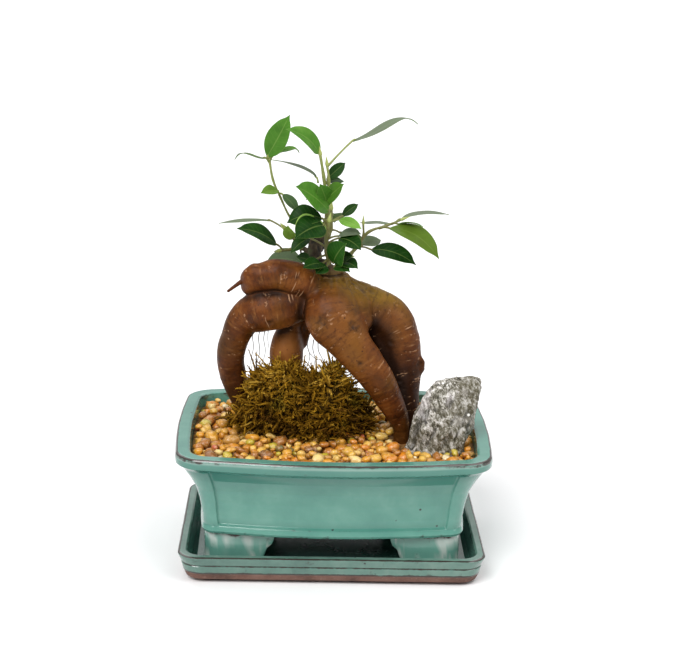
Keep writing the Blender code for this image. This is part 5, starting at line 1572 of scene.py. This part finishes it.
def make_barbs(rng, lines, way, side, other, tone):
    """Tiny leaves: thin four-sided darts that leave the sprig at a slant and point to its tip."""
    count = len(lines)
    t = np.linspace(0.22, 0.97, BARBS)[None] + rng.uniform(-0.04, 0.04, (count, BARBS))
    at = np.clip(t * (SPRIG_STEPS - 1), 0, SPRIG_STEPS - 1.001)
    low = at.astype(int)
    part = (at - low)[..., None]
    pick = np.arange(count)[:, None]
    base = lines[pick, low] * (1 - part) + lines[pick, low + 1] * part
    spin = np.arange(BARBS)[None] * BARB_TURN + rng.uniform(0, 6.28, (count, 1))
    out = side[:, None] * np.cos(spin)[..., None] + other[:, None] * np.sin(spin)[..., None]
    flat = np.cross(way[:, None], out)
    size = rng.uniform(1.5, 3.0, (count, BARBS, 1))
    tip = base + size * (0.5 * out + 0.85 * way[:, None])
    wide = 0.46 * flat
    rise = 0.10 * np.cross(out, flat)
    middle = base + 0.45 * (tip - base)
    points = np.stack([base, middle + wide, middle - wide, middle + rise, tip], axis=2)
    order = np.array([[0, 3, 1], [0, 2, 3], [4, 1, 3], [4, 3, 2], [0, 1, 2], [4, 2, 1]])
    faces = copied_faces(order, count * BARBS, BARB_POINTS)
    barbs = mesh_piece("moss_barbs", points.reshape(-1, 3), [faces], smooth=False)
    paint(barbs, tone=np.repeat(tone, BARBS * BARB_POINTS),
          tip=np.repeat(np.clip(t, 0, 1).ravel(), BARB_POINTS))
    return barbs


# %% Moss finishes


def dry_moss():
    """Olive brown at a sprig's foot to straw yellow at its tip, each sprig a little different."""
    look = Finish("dry_moss", Roughness=0.75, Specular_IOR_Level=0.08)
    where = look.place()
    young = look.ramp(look.painted("tone"), (0.0, (0.075, 0.034, 0.003)),
                      (0.45, (0.20, 0.100, 0.006)), (0.72, (0.37, 0.20, 0.014)),
                      (1.0, (0.56, 0.35, 0.055)))
    old = look.mix(0.75, young, (0.036, 0.014, 0.002))
    body = look.mix(look.band(look.painted("tip"), 0.05, 0.8), old, young)
    body = look.mix(look.band(look.noise(where, 75, 2), 0.55, 0.75), body,
                    look.mix(0.5, body, (0.12, 0.04, 0.012)))
    body = look.mix(look.band(look.noise(where, 60, 2), 0.58, 0.72), body,
                    look.mix(0.3, body, (0.17, 0.17, 0.02)))
    return look.done(body, (look.noise(where, 1600, 2), 0.5, 0.15))


def moss_shade():
    """The mound under the sprigs: nearly black brown, the painted shade deep inside the clump,
    with a few fibres.
    """
    look = Finish("moss_shade", Roughness=0.95, Specular_IOR_Level=0.05)
    where = look.place()
    fibre = look.noise(look.place((1, 1, 0.3), (30, 20, 0)), 600, 4, 0.7)
    body = look.ramp(fibre, (0.35, (0.010, 0.005, 0.001)), (0.6, (0.05, 0.026, 0.005)),
                     (0.8, (0.16, 0.095, 0.015)))
    return look.done(body, (fibre, 0.8, 0.8), (look.noise(where, 300, 2), 0.4, 0.6))


moss = dry_moss()
finish_piece(make_moss_mound(), [moss_shade()], "dry_moss", "moss")
for strands in make_sprigs():
    finish_piece(strands, [moss], "dry_moss", "moss")

# %% [markdown]
# Grafted trunk
#
# Nurseries graft a small leaved fig onto the swollen roots. The graft leaves a short woody collar
# and a stub of old trunk, from which the new branches grow. Their tubes are merged and melted
# like the roots, and the bark gets rough furrows instead of smooth rings.

# %% Trunk
TRUNK_BASE = 165.8
TRUNK = [(-8, 9, TRUNK_BASE - 2, 4.8), (-12, 8.5, 173, 3.9), (-12.6, 8, 182, 3.8),
         (-10.6, 7, 189.5, 3.0)]
TRUNK_COLLAR = [(-5, 9, TRUNK_BASE - 1, 8.0), (-5.4, 9, 167.6, 6.4), (-6, 9, 169.2, 4.2)]
BRANCHES = {
    "right": [(1.0, 10, TRUNK_BASE - 1, 2.6), (3.8, 10, 171, 1.9), (6.6, 10, 175, 1.3)],
    "middle": [(-9.5, 7.2, 187, 3.0), (-7.8, 6.4, 192, 2.2), (-7.0, 6, 196, 1.6)],
    "left": [(-10.5, 7.6, 184, 2.0), (-16, 7.4, 188.5, 1.2), (-19, 7.2, 191.5, 0.7)],
    "low_left": [(-11, 8.4, 176, 2.6), (-16, 9, 178.5, 1.8), (-19, 9, 180, 1.4)],
    "front": [(-8, 6, 172, 2.8), (-6, 1.5, 173.6, 2.0), (-5.0, -1.5, 175, 1.6)],
    "back": [(-9.5, 11, 180, 2.6), (-7, 15, 183, 1.8), (-5.5, 17.5, 185, 1.4)],
}
TRUNK_VOXEL = 0.5
TRUNK_SIDES = 18


def make_trunk():
    """Tubes merged by a voxel remesh, furrowed by ridged noise that is stretched upwards."""
    runs = [TRUNK, TRUNK_COLLAR] + list(BRANCHES.values())
    tubes = [tube(domed(spline(run, 5)), TRUNK_SIDES) for run in runs]
    points, quads = skinned(tubes, TRUNK_VOXEL)
    trunk = mesh_piece("grafted_trunk", points, [quads])
    melt = trunk.modifiers.new("melt", "SMOOTH")
    melt.factor, melt.iterations = 0.5, 4
    trunk.data = modified_mesh(trunk)
    trunk.modifiers.clear()
    points = read_mesh(trunk.data.vertices, "co", 3) / MM
    normals = read_mesh(trunk.data.vertices, "normal", 3)
    furrow = 1 - 2 * np.abs(rough_clouds(points * (1, 1, 0.35), 2.4, 71, 3))
    height = 0.32 * furrow + 0.4 * clouds(points, 5, 72)
    points = points + normals * height[:, None]
    points[:, 2] = np.maximum(points[:, 2], TRUNK_BASE)
    trunk.data.vertices.foreach_set("co", (points * MM).ravel())
    trunk.data.update()
    paint(trunk, furrow=np.clip(0.5 + 0.5 * furrow, 0, 1))
    return trunk


def woody_bark():
    """Dark furrowed bark, gray brown on the ridges and nearly black in the cracks."""
    look = Finish("woody_bark", Roughness=0.8)
    where = look.place()
    grain = look.noise(look.place((1, 1, 0.3)), 500, 5, 0.7)
    body = look.ramp(grain, (0.3, (0.018, 0.012, 0.006)), (0.55, (0.06, 0.04, 0.02)),
                     (0.8, (0.16, 0.12, 0.075)))
    body = look.mix(look.band(look.painted("furrow"), 0.6, 0.25), body, (0.012, 0.009, 0.005))
    body = look.mix(look.band(look.noise(where, 110, 2), 0.55, 0.75), body, (0.07, 0.075, 0.03))
    collar = look.times(look.band(look.part_of(where, "Z"), 0.1722, 0.1665), 0.8)
    body = look.mix(collar, body, (0.16, 0.085, 0.014))
    return look.done(body, (grain, 0.7, 0.5))


finish_piece(make_trunk(), [woody_bark()], "woody_bark", "trunk")

# %% [markdown]
# Leaves
#
# A fig leaf is leathery, glossy on top and dull and paler below, with a strong midrib, a folded
# blade and a drawn-out tip. A flat card with a leaf picture would do for a far tree, but here each
# leaf is seen by itself. Each one is a closed skin: a grid of t along the midrib and u across it
# for the upper face, and the same grid again for the underside, a third of a millimetre below.

# %% Shape of one leaf
LEAF_ROWS, LEAF_COLUMNS = 30, 13
LEAF_THICK = 0.36
RIB_WIDTH, RIB_DROP = 0.45, 0.35
VEINS, VEIN_SLANT = 9.0, 1.3


def leaf_half_width(width, t):
    """Half width at t: a power of a sine, widest a little below the middle, with a drip tip."""
    body = 0.5 * width * np.sin(math.pi * t**0.88) ** 0.8
    return np.maximum(body * (1 - 0.4 * soft_step(t, 0.82, 0.97)), 0.34 - 0.2 * t)


def leaf_skin(base, tip, width, facing, fold, arch, skew, seed):
    """One blade. The midrib is a parabola over the line from base to tip, arch mm high, and a skew
    above 1 moves its peak towards the tip. Across it the blade rises by |u|^1.15 * tan(fold), its
    margin turns down by u^4 and waves with t."""
    base, tip, facing = np.array(base, float), np.array(tip, float), np.array(facing, float)
    t = 1 - (1 - np.linspace(0, 1, LEAF_ROWS)) ** 1.15
    along = unit(tip - base)
    rise = unit(facing - along * (facing @ along))
    side_sway = np.cross(along, rise)
    length = np.linalg.norm(tip - base)
    rng = np.random.default_rng(seed)
    sway, roll, phase = rng.uniform(-0.035, 0.035), rng.uniform(-0.2, 0.2), rng.uniform(0, 6.3)
    rib = base + (tip - base) * t[:, None] + rise * (arch * 4 * t**skew * (1 - t**skew))[:, None]
    rib = rib + side_sway * (sway * length * np.sin(math.pi * t))[:, None]
    tangent = unit(np.gradient(rib, axis=0))
    up = unit(facing - tangent * (tangent @ facing)[:, None])
    side = np.cross(tangent, up)
    twist = roll * (t - 0.4)
    side, up = (side * np.cos(twist)[:, None] + up * np.sin(twist)[:, None],
                up * np.cos(twist)[:, None] - side * np.sin(twist)[:, None])
    half = leaf_half_width(width, t)[:, None]
    u = np.sin(np.linspace(-1, 1, LEAF_COLUMNS) * math.pi / 2)[None]
    lift = math.tan(math.radians(fold)) * np.abs(u) ** 1.15 - 0.10 * u**4
    wave = 0.035 * np.sin(9 * t[:, None] + phase + 1.5 * u) * u**2
    high = half * (lift + wave)
    near_rib = bell(u * half, 0, RIB_WIDTH)
    groove = -0.14 * near_rib * (1 - t[:, None])
    phases = t[:, None] * VEINS - VEIN_SLANT * np.abs(u)
    veins = 0.05 * np.sin(2 * math.pi * phases) * (1 - u**2)
    raised = up[:, None] * (high + groove + veins)[..., None]
    top = rib[:, None] + side[:, None] * (u * half)[..., None] + raised
    thick = LEAF_THICK * (1 - 0.65 * np.abs(u) ** 6) + RIB_DROP * near_rib * (1.1 - t[:, None])
    under = top - up[:, None] * thick[..., None]
    ring = np.concatenate([top, under[:, ::-1]], axis=1)
    faces = loft_faces(LEAF_ROWS, 2 * LEAF_COLUMNS)
    across = np.concatenate([u[0], u[0, ::-1]])
    uv = np.stack(np.broadcast_arrays(0.5 + 0.5 * across[None], t[:, None]), axis=2).reshape(-1, 2)
    below = np.tile(np.repeat([0.0, 1.0], LEAF_COLUMNS), LEAF_ROWS)
    return ring.reshape(-1, 3), faces, uv, below


# %% [markdown]
# Shoots
#
# Six leafy shoots grow from the graft. A shoot is its stems, leaf stalks, buds and leaves in one
# mesh. The places began as those of the CAD solids, and some were moved a little to fit the photo.
# Each leaf also has a tone, from old dark leaf to fresh bright one, and a painted sheen: above 0
# a pale gray cast, a painted reflection of the white surroundings, below 0 olive.

# %% Shoots and their leaves
EDGE_ON = (0, 0.28, 0.96)
SHOOTS = {
    "left": (
        [[(-27.2, 6, 199.1, 0.65), (-32.7, 5, 210.4, 0.65), (-37.1, 4, 220.7, 0.7),
          (-39.5, 4, 233, 0.8)]],
        [
            # stalk start, blade base, blade tip,
            # width, upper face looks to, fold, arch, tone, painted sheen (above 0) and olive (below
            # 0), skew
            ((-39.5, 4, 232), (-40.6, 3.4, 234.0), (-28.2, -2.0, 258.7),
             13.5, (-0.3, -1, 0.3), 16, 1.0, 0.55, 0.02),
            ((-39.5, 4, 231), (-35.7, 7.0, 236.2), (-22.4, 15.0, 234.7),
             5, (0, -0.35, 1), 20, 2.6, 0.62, 0.1, 2.0),
            ((-39.5, 4, 231), (-42.0, 0.0, 234.2), (-58.1, -17.0, 235.8),
             4, EDGE_ON, 5, 3.4, 0.3, 0.8, 2.0),
            ((-33.4, 5, 211.5), (-34.3, 2.5, 215.0), (-43.8, -6.5, 215.1),
             7, (0, -0.8, 0.7), 24, 1.0, 0.72, -0.5),
            ((-33.6, 5, 212.5), (-31.6, 3.5, 212.6), (-22.4, 0.0, 203.0),
             6.5, (0.6, -1, 0.3), 20, 0.8, 0.2, 0.3),
        ],
    ),
    "middle": (
        [[(-6.0, 6, 200, 1.4), (-6.9, 6, 211.7, 1.2), (-8.5, 4, 223.2, 1.0),
          (-10.6, 2, 235.3, 0.8)],
         [(-6.4, 6, 203, 1.1), (-4.8, 5, 212, 0.9), (-5.4, 4.6, 221, 0.8), (-6.6, 4.5, 229, 0.7)]],
        [
            ((-10.5, 2.1, 234.4), (-11.3, 1.5, 236.7), (-30.0, -10.5, 252.2),
             12.5, (-0.2, -0.8, 0.95), 16, 3.0, 0.62, 0.02),
            ((-11.6, 4.5, 219.5), (-12.3, 7.0, 221.9), (-38.6, 30.0, 227.7),
             6, (0, 0.1, 1), 5, 2.6, 0.1, 0.7, 0.7),
            ((-6.4, 4.5, 229.0), (7.8, 12.0, 242.8), (45.7, 30.0, 250.1),
             10.5, (-0.2, -0.1, 1), 8, 5.8, 0.35, 0.9, 2.2),
            ((-5.2, 4.7, 218.6), (-6.5, 6.0, 221.5), (3.9, 14.0, 229.6),
             7, (0.5, -1, 0.5), 16, 0.8, 0.12, 0.05),
            ((-5.2, 4.7, 215), (-6.7, 8.0, 219.4), (2.8, 16.0, 218.8),
             9, (0.1, -0.5, 1), 16, 1.2, 0.1, 0.02),
            ((-6.6, 5.5, 207), (-5.1, 0.0, 204.3), (-24.0, -18.5, 221.7),
             17, (-0.1, -1, 1.0), 12, 0.8, 0.58, 0.0),
            ((-5.2, 5, 210), (-6.8, 1.0, 210.9), (2.5, -8.0, 221.5),
             12, (-0.3, -1, 0.9), 12, 0.6, 0.5, -0.2),
            ((-6.2, 5, 208), (-5.7, 1.5, 206.8), (-10.6, -7.0, 221.0),
             11, (-0.2, -1, 0.9), 10, 0.5, 0.55, 0.0),
        ],
    ),
    "front": (
        [[(-6.0, -4.5, 182, 1.4), (-6.2, -4.0, 190, 1.3), (-5.2, -3.0, 198, 1.0)],
         [(-5.2, -3.2, 177, 1.4), (-1.0, -4.5, 177.5, 1.2), (4.0, -5.0, 178.5, 1.0)]],
        [
            ((-5.3, -3, 196.6), (-9, -4, 200.8), (-28.8, -6, 198.2),
             15, (-0.1, -0.8, 1), 14, 4.0, 0.06, 0.02),
            ((-5.8, -3.4, 194), (-8.0, -7.5, 197.6), (-24, -24, 193.5),
             17, (0, -0.9, 0.8), 14, 2.0, 0.02, 0.0),
            ((-5.3, -3, 197.4), (0.6, -4.0, 200.3), (13.1, -14.0, 197.3),
             6.8, (0, -1, 0.9), 14, 1.2, 0.78, 0.0),
            ((-6.1, -4.1, 188.5), (0.2, -5.0, 191.0), (13.0, -10.0, 193.5),
             9, (0.1, -0.4, 1), 10, 1.6, 0.2, 0.7),
            ((-6.1, -4.2, 186), (0.7, -8.0, 190.5), (13.0, -17.0, 185.9),
             12, (0.2, -0.9, 1), 12, 2.0, 0.04, 0.0),
            ((-6.1, -4.3, 184), (-15.9, -6.0, 189.7), (-26.2, -12.0, 182.3),
             8.5, (-0.2, -0.8, 1), 14, 1.8, 0.08, 0.03),
            ((-5.9, -4.6, 180.5), (-2.3, -9.0, 176.2), (4.4, -20.0, 190.2),
             15, (0.1, -1, 0.9), 14, 1.2, 0.24, 0.0),
            ((3.2, -4.9, 178.4), (2.2, -8.0, 176.6), (11.6, -17.0, 175.2),
             9, (0.2, -0.9, 1), 14, 1.6, 0.06, 0.02),
            ((-3.4, -3.8, 177.2), (-8.6, -9.0, 175.5), (-19.3, -15.0, 174.4),
             10, (-0.2, -0.8, 1), 14, 2.0, 0.05, 0.0),
            ((3.2, -4.9, 178.4), (-1.7, -10.0, 174.1), (7.1, -18.0, 173.4),
             8, (0.2, -0.9, 1), 14, 1.4, 0.1, 0.0),
            ((-3.4, -3.8, 177.2), (-5.7, -9.0, 174.4), (-11.9, -15.0, 171.1),
             8.5, (-0.1, -1, 0.8), 14, 1.2, 0.05, 0.0),
            ((3.2, -4.9, 178.4), (0.5, -7.0, 176.9), (8.7, -13.0, 181.4),
             8.5, (0.1, -0.9, 1), 14, 1.2, 0.14, 0.02),
            ((-5.9, -4.6, 180.0), (-14.2, -3.0, 175.1), (-23.3, -8.0, 179.0),
             8.5, (-0.1, -0.9, 1), 14, 1.2, 0.1, 0.05),
            ((-5.3, -3, 197.4), (2.6, 0.0, 201.5), (11.6, 3.0, 208.0),
             5.5, (0.2, -1, 0.5), 18, 0.5, 0.1, 0.06),
            ((-5.8, -3.4, 194), (-8.0, -5.0, 198.0), (-24.0, -21.4, 194.2),
             17, (0, -0.9, 0.8), 14, 2.0, 1.0, 0.0),
        ],
    ),
    "right": (
        [[(12.0, 10, 182, 1.1), (18, 9, 190.5, 0.9), (28, 8, 194.6, 0.75), (36, 9, 197.8, 0.6)],
         [(12.4, 10, 181.5, 0.9), (15, 9.2, 188, 0.75), (14.9, 9, 194.5, 0.6)]],
        [
            ((28, 8.2, 194.2), (30.9, 12.0, 194.8), (13.6, 27.0, 192.1),
             9, (0, 0, 1), 6, 0.4, 0.4, 1.0),
            ((34, 9, 197), (36.6, 12.0, 197.8), (65.3, 25.0, 198.3),
             9.5, (0, -0.02, 1), 6, 2.8, 0.35, 1.0, 0.8),
            ((31, 8.3, 195.6), (34.5, 4.0, 196.6), (47.9, -8.0, 198.0),
             4.5, EDGE_ON, 6, 1.8, 0.5, 0.1),
            ((24, 8.2, 192.8), (29.4, 3.0, 194.4), (57.1, -15.0, 181.1),
             15, (0.3, -0.65, 1), 14, 5.2, 0.4, -0.75),
            ((12.2, 10, 181.6), (19.5, 4.0, 181.4), (44.6, -10.5, 176.3),
             12.5, (0.1, -0.8, 1), 12, 3.2, 0.03, 0.0),
            ((13.2, 9.8, 183.4), (14.6, 13.0, 181.9), (25.9, 20.0, 183.4),
             9.5, (0.1, -0.5, 1), 10, 1.2, 0.4, 0.9),
        ],
    ),
    "low_left": (
        [[(-24, 8, 185.5, 1.1), (-29.3, 6, 191.6, 0.9)],
         [(-20.6, 8.8, 181.2, 1.0), (-27, 5.5, 180.2, 0.9), (-32, 1.5, 180.4, 0.8)]],
        [
            ((-28.6, 6.2, 190.8), (-38.9, 10.0, 196.2), (-68.2, 14.0, 193.0),
             4.6, (0, -0.25, 1), 4, 0.6, 0.5, 1.0),
            ((-31, 2.2, 180.4), (-34.4, -1.0, 184.5), (-56.6, -16.5, 196.8),
             13, (0, -0.8, 1), 12, 2.5, 0.1, 0.02),
            ((-25, 7.7, 186.6), (-25.1, 1.5, 187.3), (-28.3, -4.0, 196.3),
             8, (-0.4, -0.8, 0.6), 14, 0.8, 0.85, -0.7),
            ((-21.3, 8.4, 182.2), (-19.8, 13.5, 171.0), (-41.4, 21.0, 168.2),
             15, (0, -0.9, 1), 8, 3.0, 0.25, 0.6),
        ],
    ),
    "back": (
        [[(-3.5, 20, 190, 1.2), (-3.5, 21.5, 200, 0.9)]],
        [
            ((-3.5, 21.4, 199), (-6.5, 24, 201.2), (-18, 38, 203),
             14, (0, 0.6, 1), 14, 2.4, 0.5, 0.02),
            ((-3.5, 21, 196), (-2.5, 24, 197), (-1, 40, 189),
             14, (0.2, 0.7, 1), 14, 2.8, 0.3, 0.02),
            ((-3.5, 20.4, 191.4), (-8, 23, 189.5), (-20, 36, 184),
             15, (-0.2, 0.8, 1), 14, 2.8, 0.35, 0.02),
            ((-3.6, 20, 189), (2, 21.5, 187), (15.5, 28, 177),
             13, (0.5, 0.5, 1), 14, 2.4, 0.2, 0.02),
        ],
    ),
}
STEM_SIDES, STALK_SIDES = 12, 8
BUD_LENGTH = 6.0


def stem_rows(run, steps=8):
    """A stem's spline with a slight swelling at every typed point, where leaves once sat."""
    rows = spline(run, steps)
    rows[:, 3] *= 1 + 0.14 * np.cos(2 * math.pi * np.arange(len(rows)) / steps) ** 3
    return rows


def bud(rows):
    """A pointed bud that carries on from the end of a stem."""
    away = unit(rows[-1, :3] - rows[-3, :3])
    reach = np.array([0.0, 0.12, 0.3, 0.55, 0.8, 1.0])
    thick = np.array([0.8, 1.25, 1.3, 0.85, 0.42, 0.08])
    bend = np.array([0.15, -0.1, 0.0]) * reach[:, None] ** 2 * BUD_LENGTH * 0.4
    return np.column_stack([rows[-1, :3] + away * reach[:, None] * BUD_LENGTH + bend,
                            rows[-1, 3] * thick])


def make_shoot(name, branch, stems, leaves):
    """Stems, buds, stalks and leaves of one shoot, with their paints and one UV map."""
    end, before = np.array(branch[-1][:3]), np.array(branch[-2][:3])
    way = unit(end - before)
    radius = branch[-1][3]
    grown = [(*(end - way * 0.8), radius * 0.95), (*(end + way * 1.5), radius)] + stems[0]
    green, woody, uvs, tones = [], [], [], []
    for run in [grown] + stems[1:]:
        rows = stem_rows(run)
        woody.append((tube(rows, STEM_SIDES), 0.46))
        woody.append((tube(bud(rows), STEM_SIDES), 1.0))
    for number, leaf in enumerate(leaves):
        start, base, tip, width, facing, fold, arch, tone, bloom, *skew = leaf
        middle = (np.array(start) + np.array(base)) / 2 + (0, 0, 0.5)
        into = np.array(base) + 0.05 * (np.array(tip) - base)
        stalk = [(*start, 0.72), (*middle, 0.55), (*base, 0.58), (*into, 0.3)]
        woody.append((tube(spline(stalk, 5), STALK_SIDES), 0.45))
        seed = 100 + 17 * number + len(name)
        points, faces, uv, below = leaf_skin(base, tip, width, facing, fold, arch,
                                             skew[0] if skew else 1.0, seed)
        green.append((points, faces))
        uvs.append(uv)
        all_points = np.ones(len(points))
        tones.append(np.column_stack([tone * all_points, bloom * all_points, below]))
    points, faces = joined(green + [part for part, _ in woody])
    shoot = mesh_piece(f"leafy_shoot_{name}", points, faces)
    leafy = sum(len(p) for p, _ in green)
    first = np.array([face.vertices[0] for face in shoot.data.polygons])
    shoot.data.polygons.foreach_set("material_index", (first >= leafy).astype(np.int32))
    tone, bloom, below = np.vstack(tones + [np.zeros((len(points) - leafy, 3))]).T
    young = [np.zeros(leafy)] + [np.full(len(part[0]), share) for part, share in woody]
    young = np.concatenate(young)
    young = np.clip(young + 0.3 * soft_step(points[:, 2], 185, 225) * (young > 0), 0, 1)
    paint(shoot, tone=tone, bloom=bloom, below=below, young=young)
    uv = np.vstack(uvs + [np.zeros((len(points) - leafy, 2))])
    map_piece(shoot, "along_leaf", uv[read_mesh(shoot.data.loops, "vertex_index", 1, int).ravel()])
    return shoot


# %% Leaf and stem finishes


def ficus_leaf():
    """Glossy green by tone, pale midrib and side veins, mottled blade and a dull gray underside."""
    look = Finish("ficus_leaf", Coat_Weight=0.02, Coat_Roughness=0.2, Specular_IOR_Level=0.05)
    where = look.place()
    uv = look.uv("along_leaf")
    across, along = look.part_of(uv, "X"), look.part_of(uv, "Y")
    out = look.times(look.sums("ABSOLUTE", look.minus(across, 0.5)), 2.0)
    tone = look.plus(look.painted("tone"), look.sums("MULTIPLY_ADD", look.noise(where, 110, 3), 0.4,
                                                     -0.2))
    body = look.ramp(tone, (0.0, (0.004, 0.026, 0.002)), (0.3, (0.018, 0.078, 0.007)),
                     (0.6, (0.070, 0.200, 0.022)), (0.85, (0.165, 0.330, 0.052)),
                     (1.0, (0.26, 0.42, 0.09)))
    vein_place = look.minus(look.times(along, VEINS), look.times(out, VEIN_SLANT))
    wave = look.sums("ABSOLUTE", look.minus(look.sums("FRACT", vein_place), 0.5))
    vein = look.times(look.band(wave, 0.06, 0.0), look.band(out, 1.0, 0.7))
    rib = look.band(out, 0.075, 0.02)
    lines = look.sums("MAXIMUM", look.times(vein, 0.13), look.times(rib, 0.3))
    body = look.mix(lines, body, look.mix(0.55, body, (0.42, 0.55, 0.16)))
    margin = look.times(look.band(out, 0.93, 1.0), 0.25)
    body = look.mix(margin, body, (0.30, 0.42, 0.10))
    # Olive where the sheen layer is below 0; above 0 a pale gray cast, a painted reflection.
    body = look.mix(look.times(look.painted("bloom"), -0.8), body, (0.105, 0.145, 0.014))
    body = look.mix(look.times(look.painted("bloom"), 0.8), body, (0.17, 0.195, 0.135))
    below = look.painted("below")
    body = look.mix(look.times(below, 0.8), body, (0.17, 0.26, 0.09))
    look.feed(Roughness=look.ramp(below, (0.2, 0.42), (0.8, 0.6)))
    grain = look.noise(where, 900, 2)
    return look.done(body, (lines, 0.5, 0.25), (grain, 0.12, 0.12),
                     (look.noise(where, 160, 2), 0.25, 0.5))


def green_stem():
    """Young stem: red brown below, olive to yellow green above, with fine lengthwise streaks."""
    look = Finish("green_stem", Roughness=0.5)
    where = look.place((1, 1, 0.35))
    streak = look.noise(where, 650, 3, 0.6)
    age = look.plus(look.painted("young"), look.sums("MULTIPLY_ADD", streak, 0.3, -0.15))
    body = look.ramp(age, (0.05, (0.075, 0.040, 0.018)), (0.35, (0.13, 0.10, 0.030)),
                     (0.65, (0.16, 0.19, 0.040)), (1.0, (0.36, 0.41, 0.11)))
    return look.done(body, (streak, 0.4, 0.3))


leaf_finish, stem_finish = ficus_leaf(), green_stem()
for name, (stems, leaves) in SHOOTS.items():
    shoot = make_shoot(name, BRANCHES[name], stems, leaves)
    finish_piece(shoot, [leaf_finish, stem_finish], "ficus_leaf", f"shoot_{name}")

# %% [markdown]
# Hair roots
#
# A few black thread-like roots hang under the arch, where the swollen roots once stood in soil.

# %% Hair roots
HAIRS = [
    [(-46, -3, 136, 0.28), (-47.6, -4, 131, 0.24), (-47.0, -4, 124, 0.2), (-48.4, -4.5, 116, 0.16),
     (-47.6, -5, 110, 0.12)],
    [(-43, 0, 135, 0.26), (-44.2, -1, 129, 0.24), (-43.4, -2, 121, 0.2), (-45.2, -2, 114, 0.16),
     (-46.4, -2.5, 108, 0.12)],
    [(-40.5, 1, 134.5, 0.26), (-41.2, 0, 128, 0.22), (-40.2, 0, 121, 0.18), (-41.6, -1, 114, 0.12)],
    [(-38.6, 2, 134, 0.22), (-38.9, 2, 128, 0.18), (-38.2, 1, 122, 0.12)],
    [(-15, -2, 131, 0.3), (-16, -4, 126, 0.26), (-14.4, -6, 120, 0.2), (-15.8, -7, 114, 0.14)],
    [(-12.4, -6, 130, 0.3), (-12.8, -8, 125, 0.24), (-11.4, -9, 119, 0.18),
     (-12.6, -10, 113, 0.12)],
    [(-10, -12, 130, 0.28), (-9.6, -13, 125.4, 0.24), (-7.6, -14, 121.5, 0.18),
     (-6.4, -15, 118, 0.12)],
    [(-14.4, -4, 121, 0.2), (-11, -6, 118.5, 0.18), (-8, -8, 118.8, 0.12)],
]


def make_hairs():
    """Thin closed tubes along splines, ended in fine tips."""
    return mesh_piece("hair_roots", *joined([tube(spline(run, 6), 6) for run in HAIRS]))


def make_rootlet():
    """The one thin rootlet that the upper left root's blunt end still carries."""
    return mesh_piece("thin_rootlet", *joined([tube(domed(spline(ROOTLET, 8)), 16)]))


def hair_root_finish():
    """Nearly black, with a few paler flecks."""
    look = Finish("hair_root", Roughness=0.6)
    fleck = look.noise(look.place(), 800, 2)
    body = look.ramp(fleck, (0.35, (0.012, 0.008, 0.005)), (0.7, (0.05, 0.03, 0.015)))
    return look.done(body)


finish_piece(make_hairs(), [hair_root_finish()], "root_bark", "roots")
finish_piece(make_rootlet(), [bark], "root_bark", "roots")

# %% [markdown]
# Soil and drain meshes
#
# These two solids are right as they are: a block of potting mix with holes for the roots, and two
# squares of plastic mesh over the drainage holes. They keep their meshes and get better finishes.

# %% Finishes of the carried-over solids


def potting_mix():
    """Dark crumbly soil with pale bits of perlite and bark."""
    look = Finish("potting_mix", Roughness=0.95)
    where = look.place()
    crumb = look.noise(where, 320, 5, 0.7)
    body = look.ramp(crumb, (0.3, (0.012, 0.008, 0.005)), (0.55, (0.05, 0.032, 0.02)),
                     (0.8, (0.13, 0.085, 0.05)))
    bits = look.cells(where, 240.0)
    bit = look.times(look.band(bits, 0.3, 0.2), look.band(look.noise(where, 140, 1), 0.6, 0.64))
    return look.done(look.mix(bit, body, (0.62, 0.58, 0.5)), (crumb, 0.9, 1.0))


def drain_plastic():
    """Matte black moulded plastic, faintly dusty."""
    look = Finish("drain_plastic", Roughness=0.55)
    dust = look.noise(look.place(), 260, 4, 0.6)
    return look.done(look.ramp(dust, (0.4, (0.015, 0.015, 0.016)), (0.8, (0.07, 0.06, 0.05))),
                     (dust, 0.2, 0.2))


def refinish(node, finish):
    """Puts the finish in every material slot of a carried-over node."""
    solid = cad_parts[node]
    for place in solid.material_slots:
        place.material = finish
    print("refinished", node, "slots:", len(solid.material_slots))


plastic = drain_plastic()
refinish("soil", potting_mix())
for node in ("drain_mesh_left", "drain_mesh_right"):
    refinish(node, plastic)
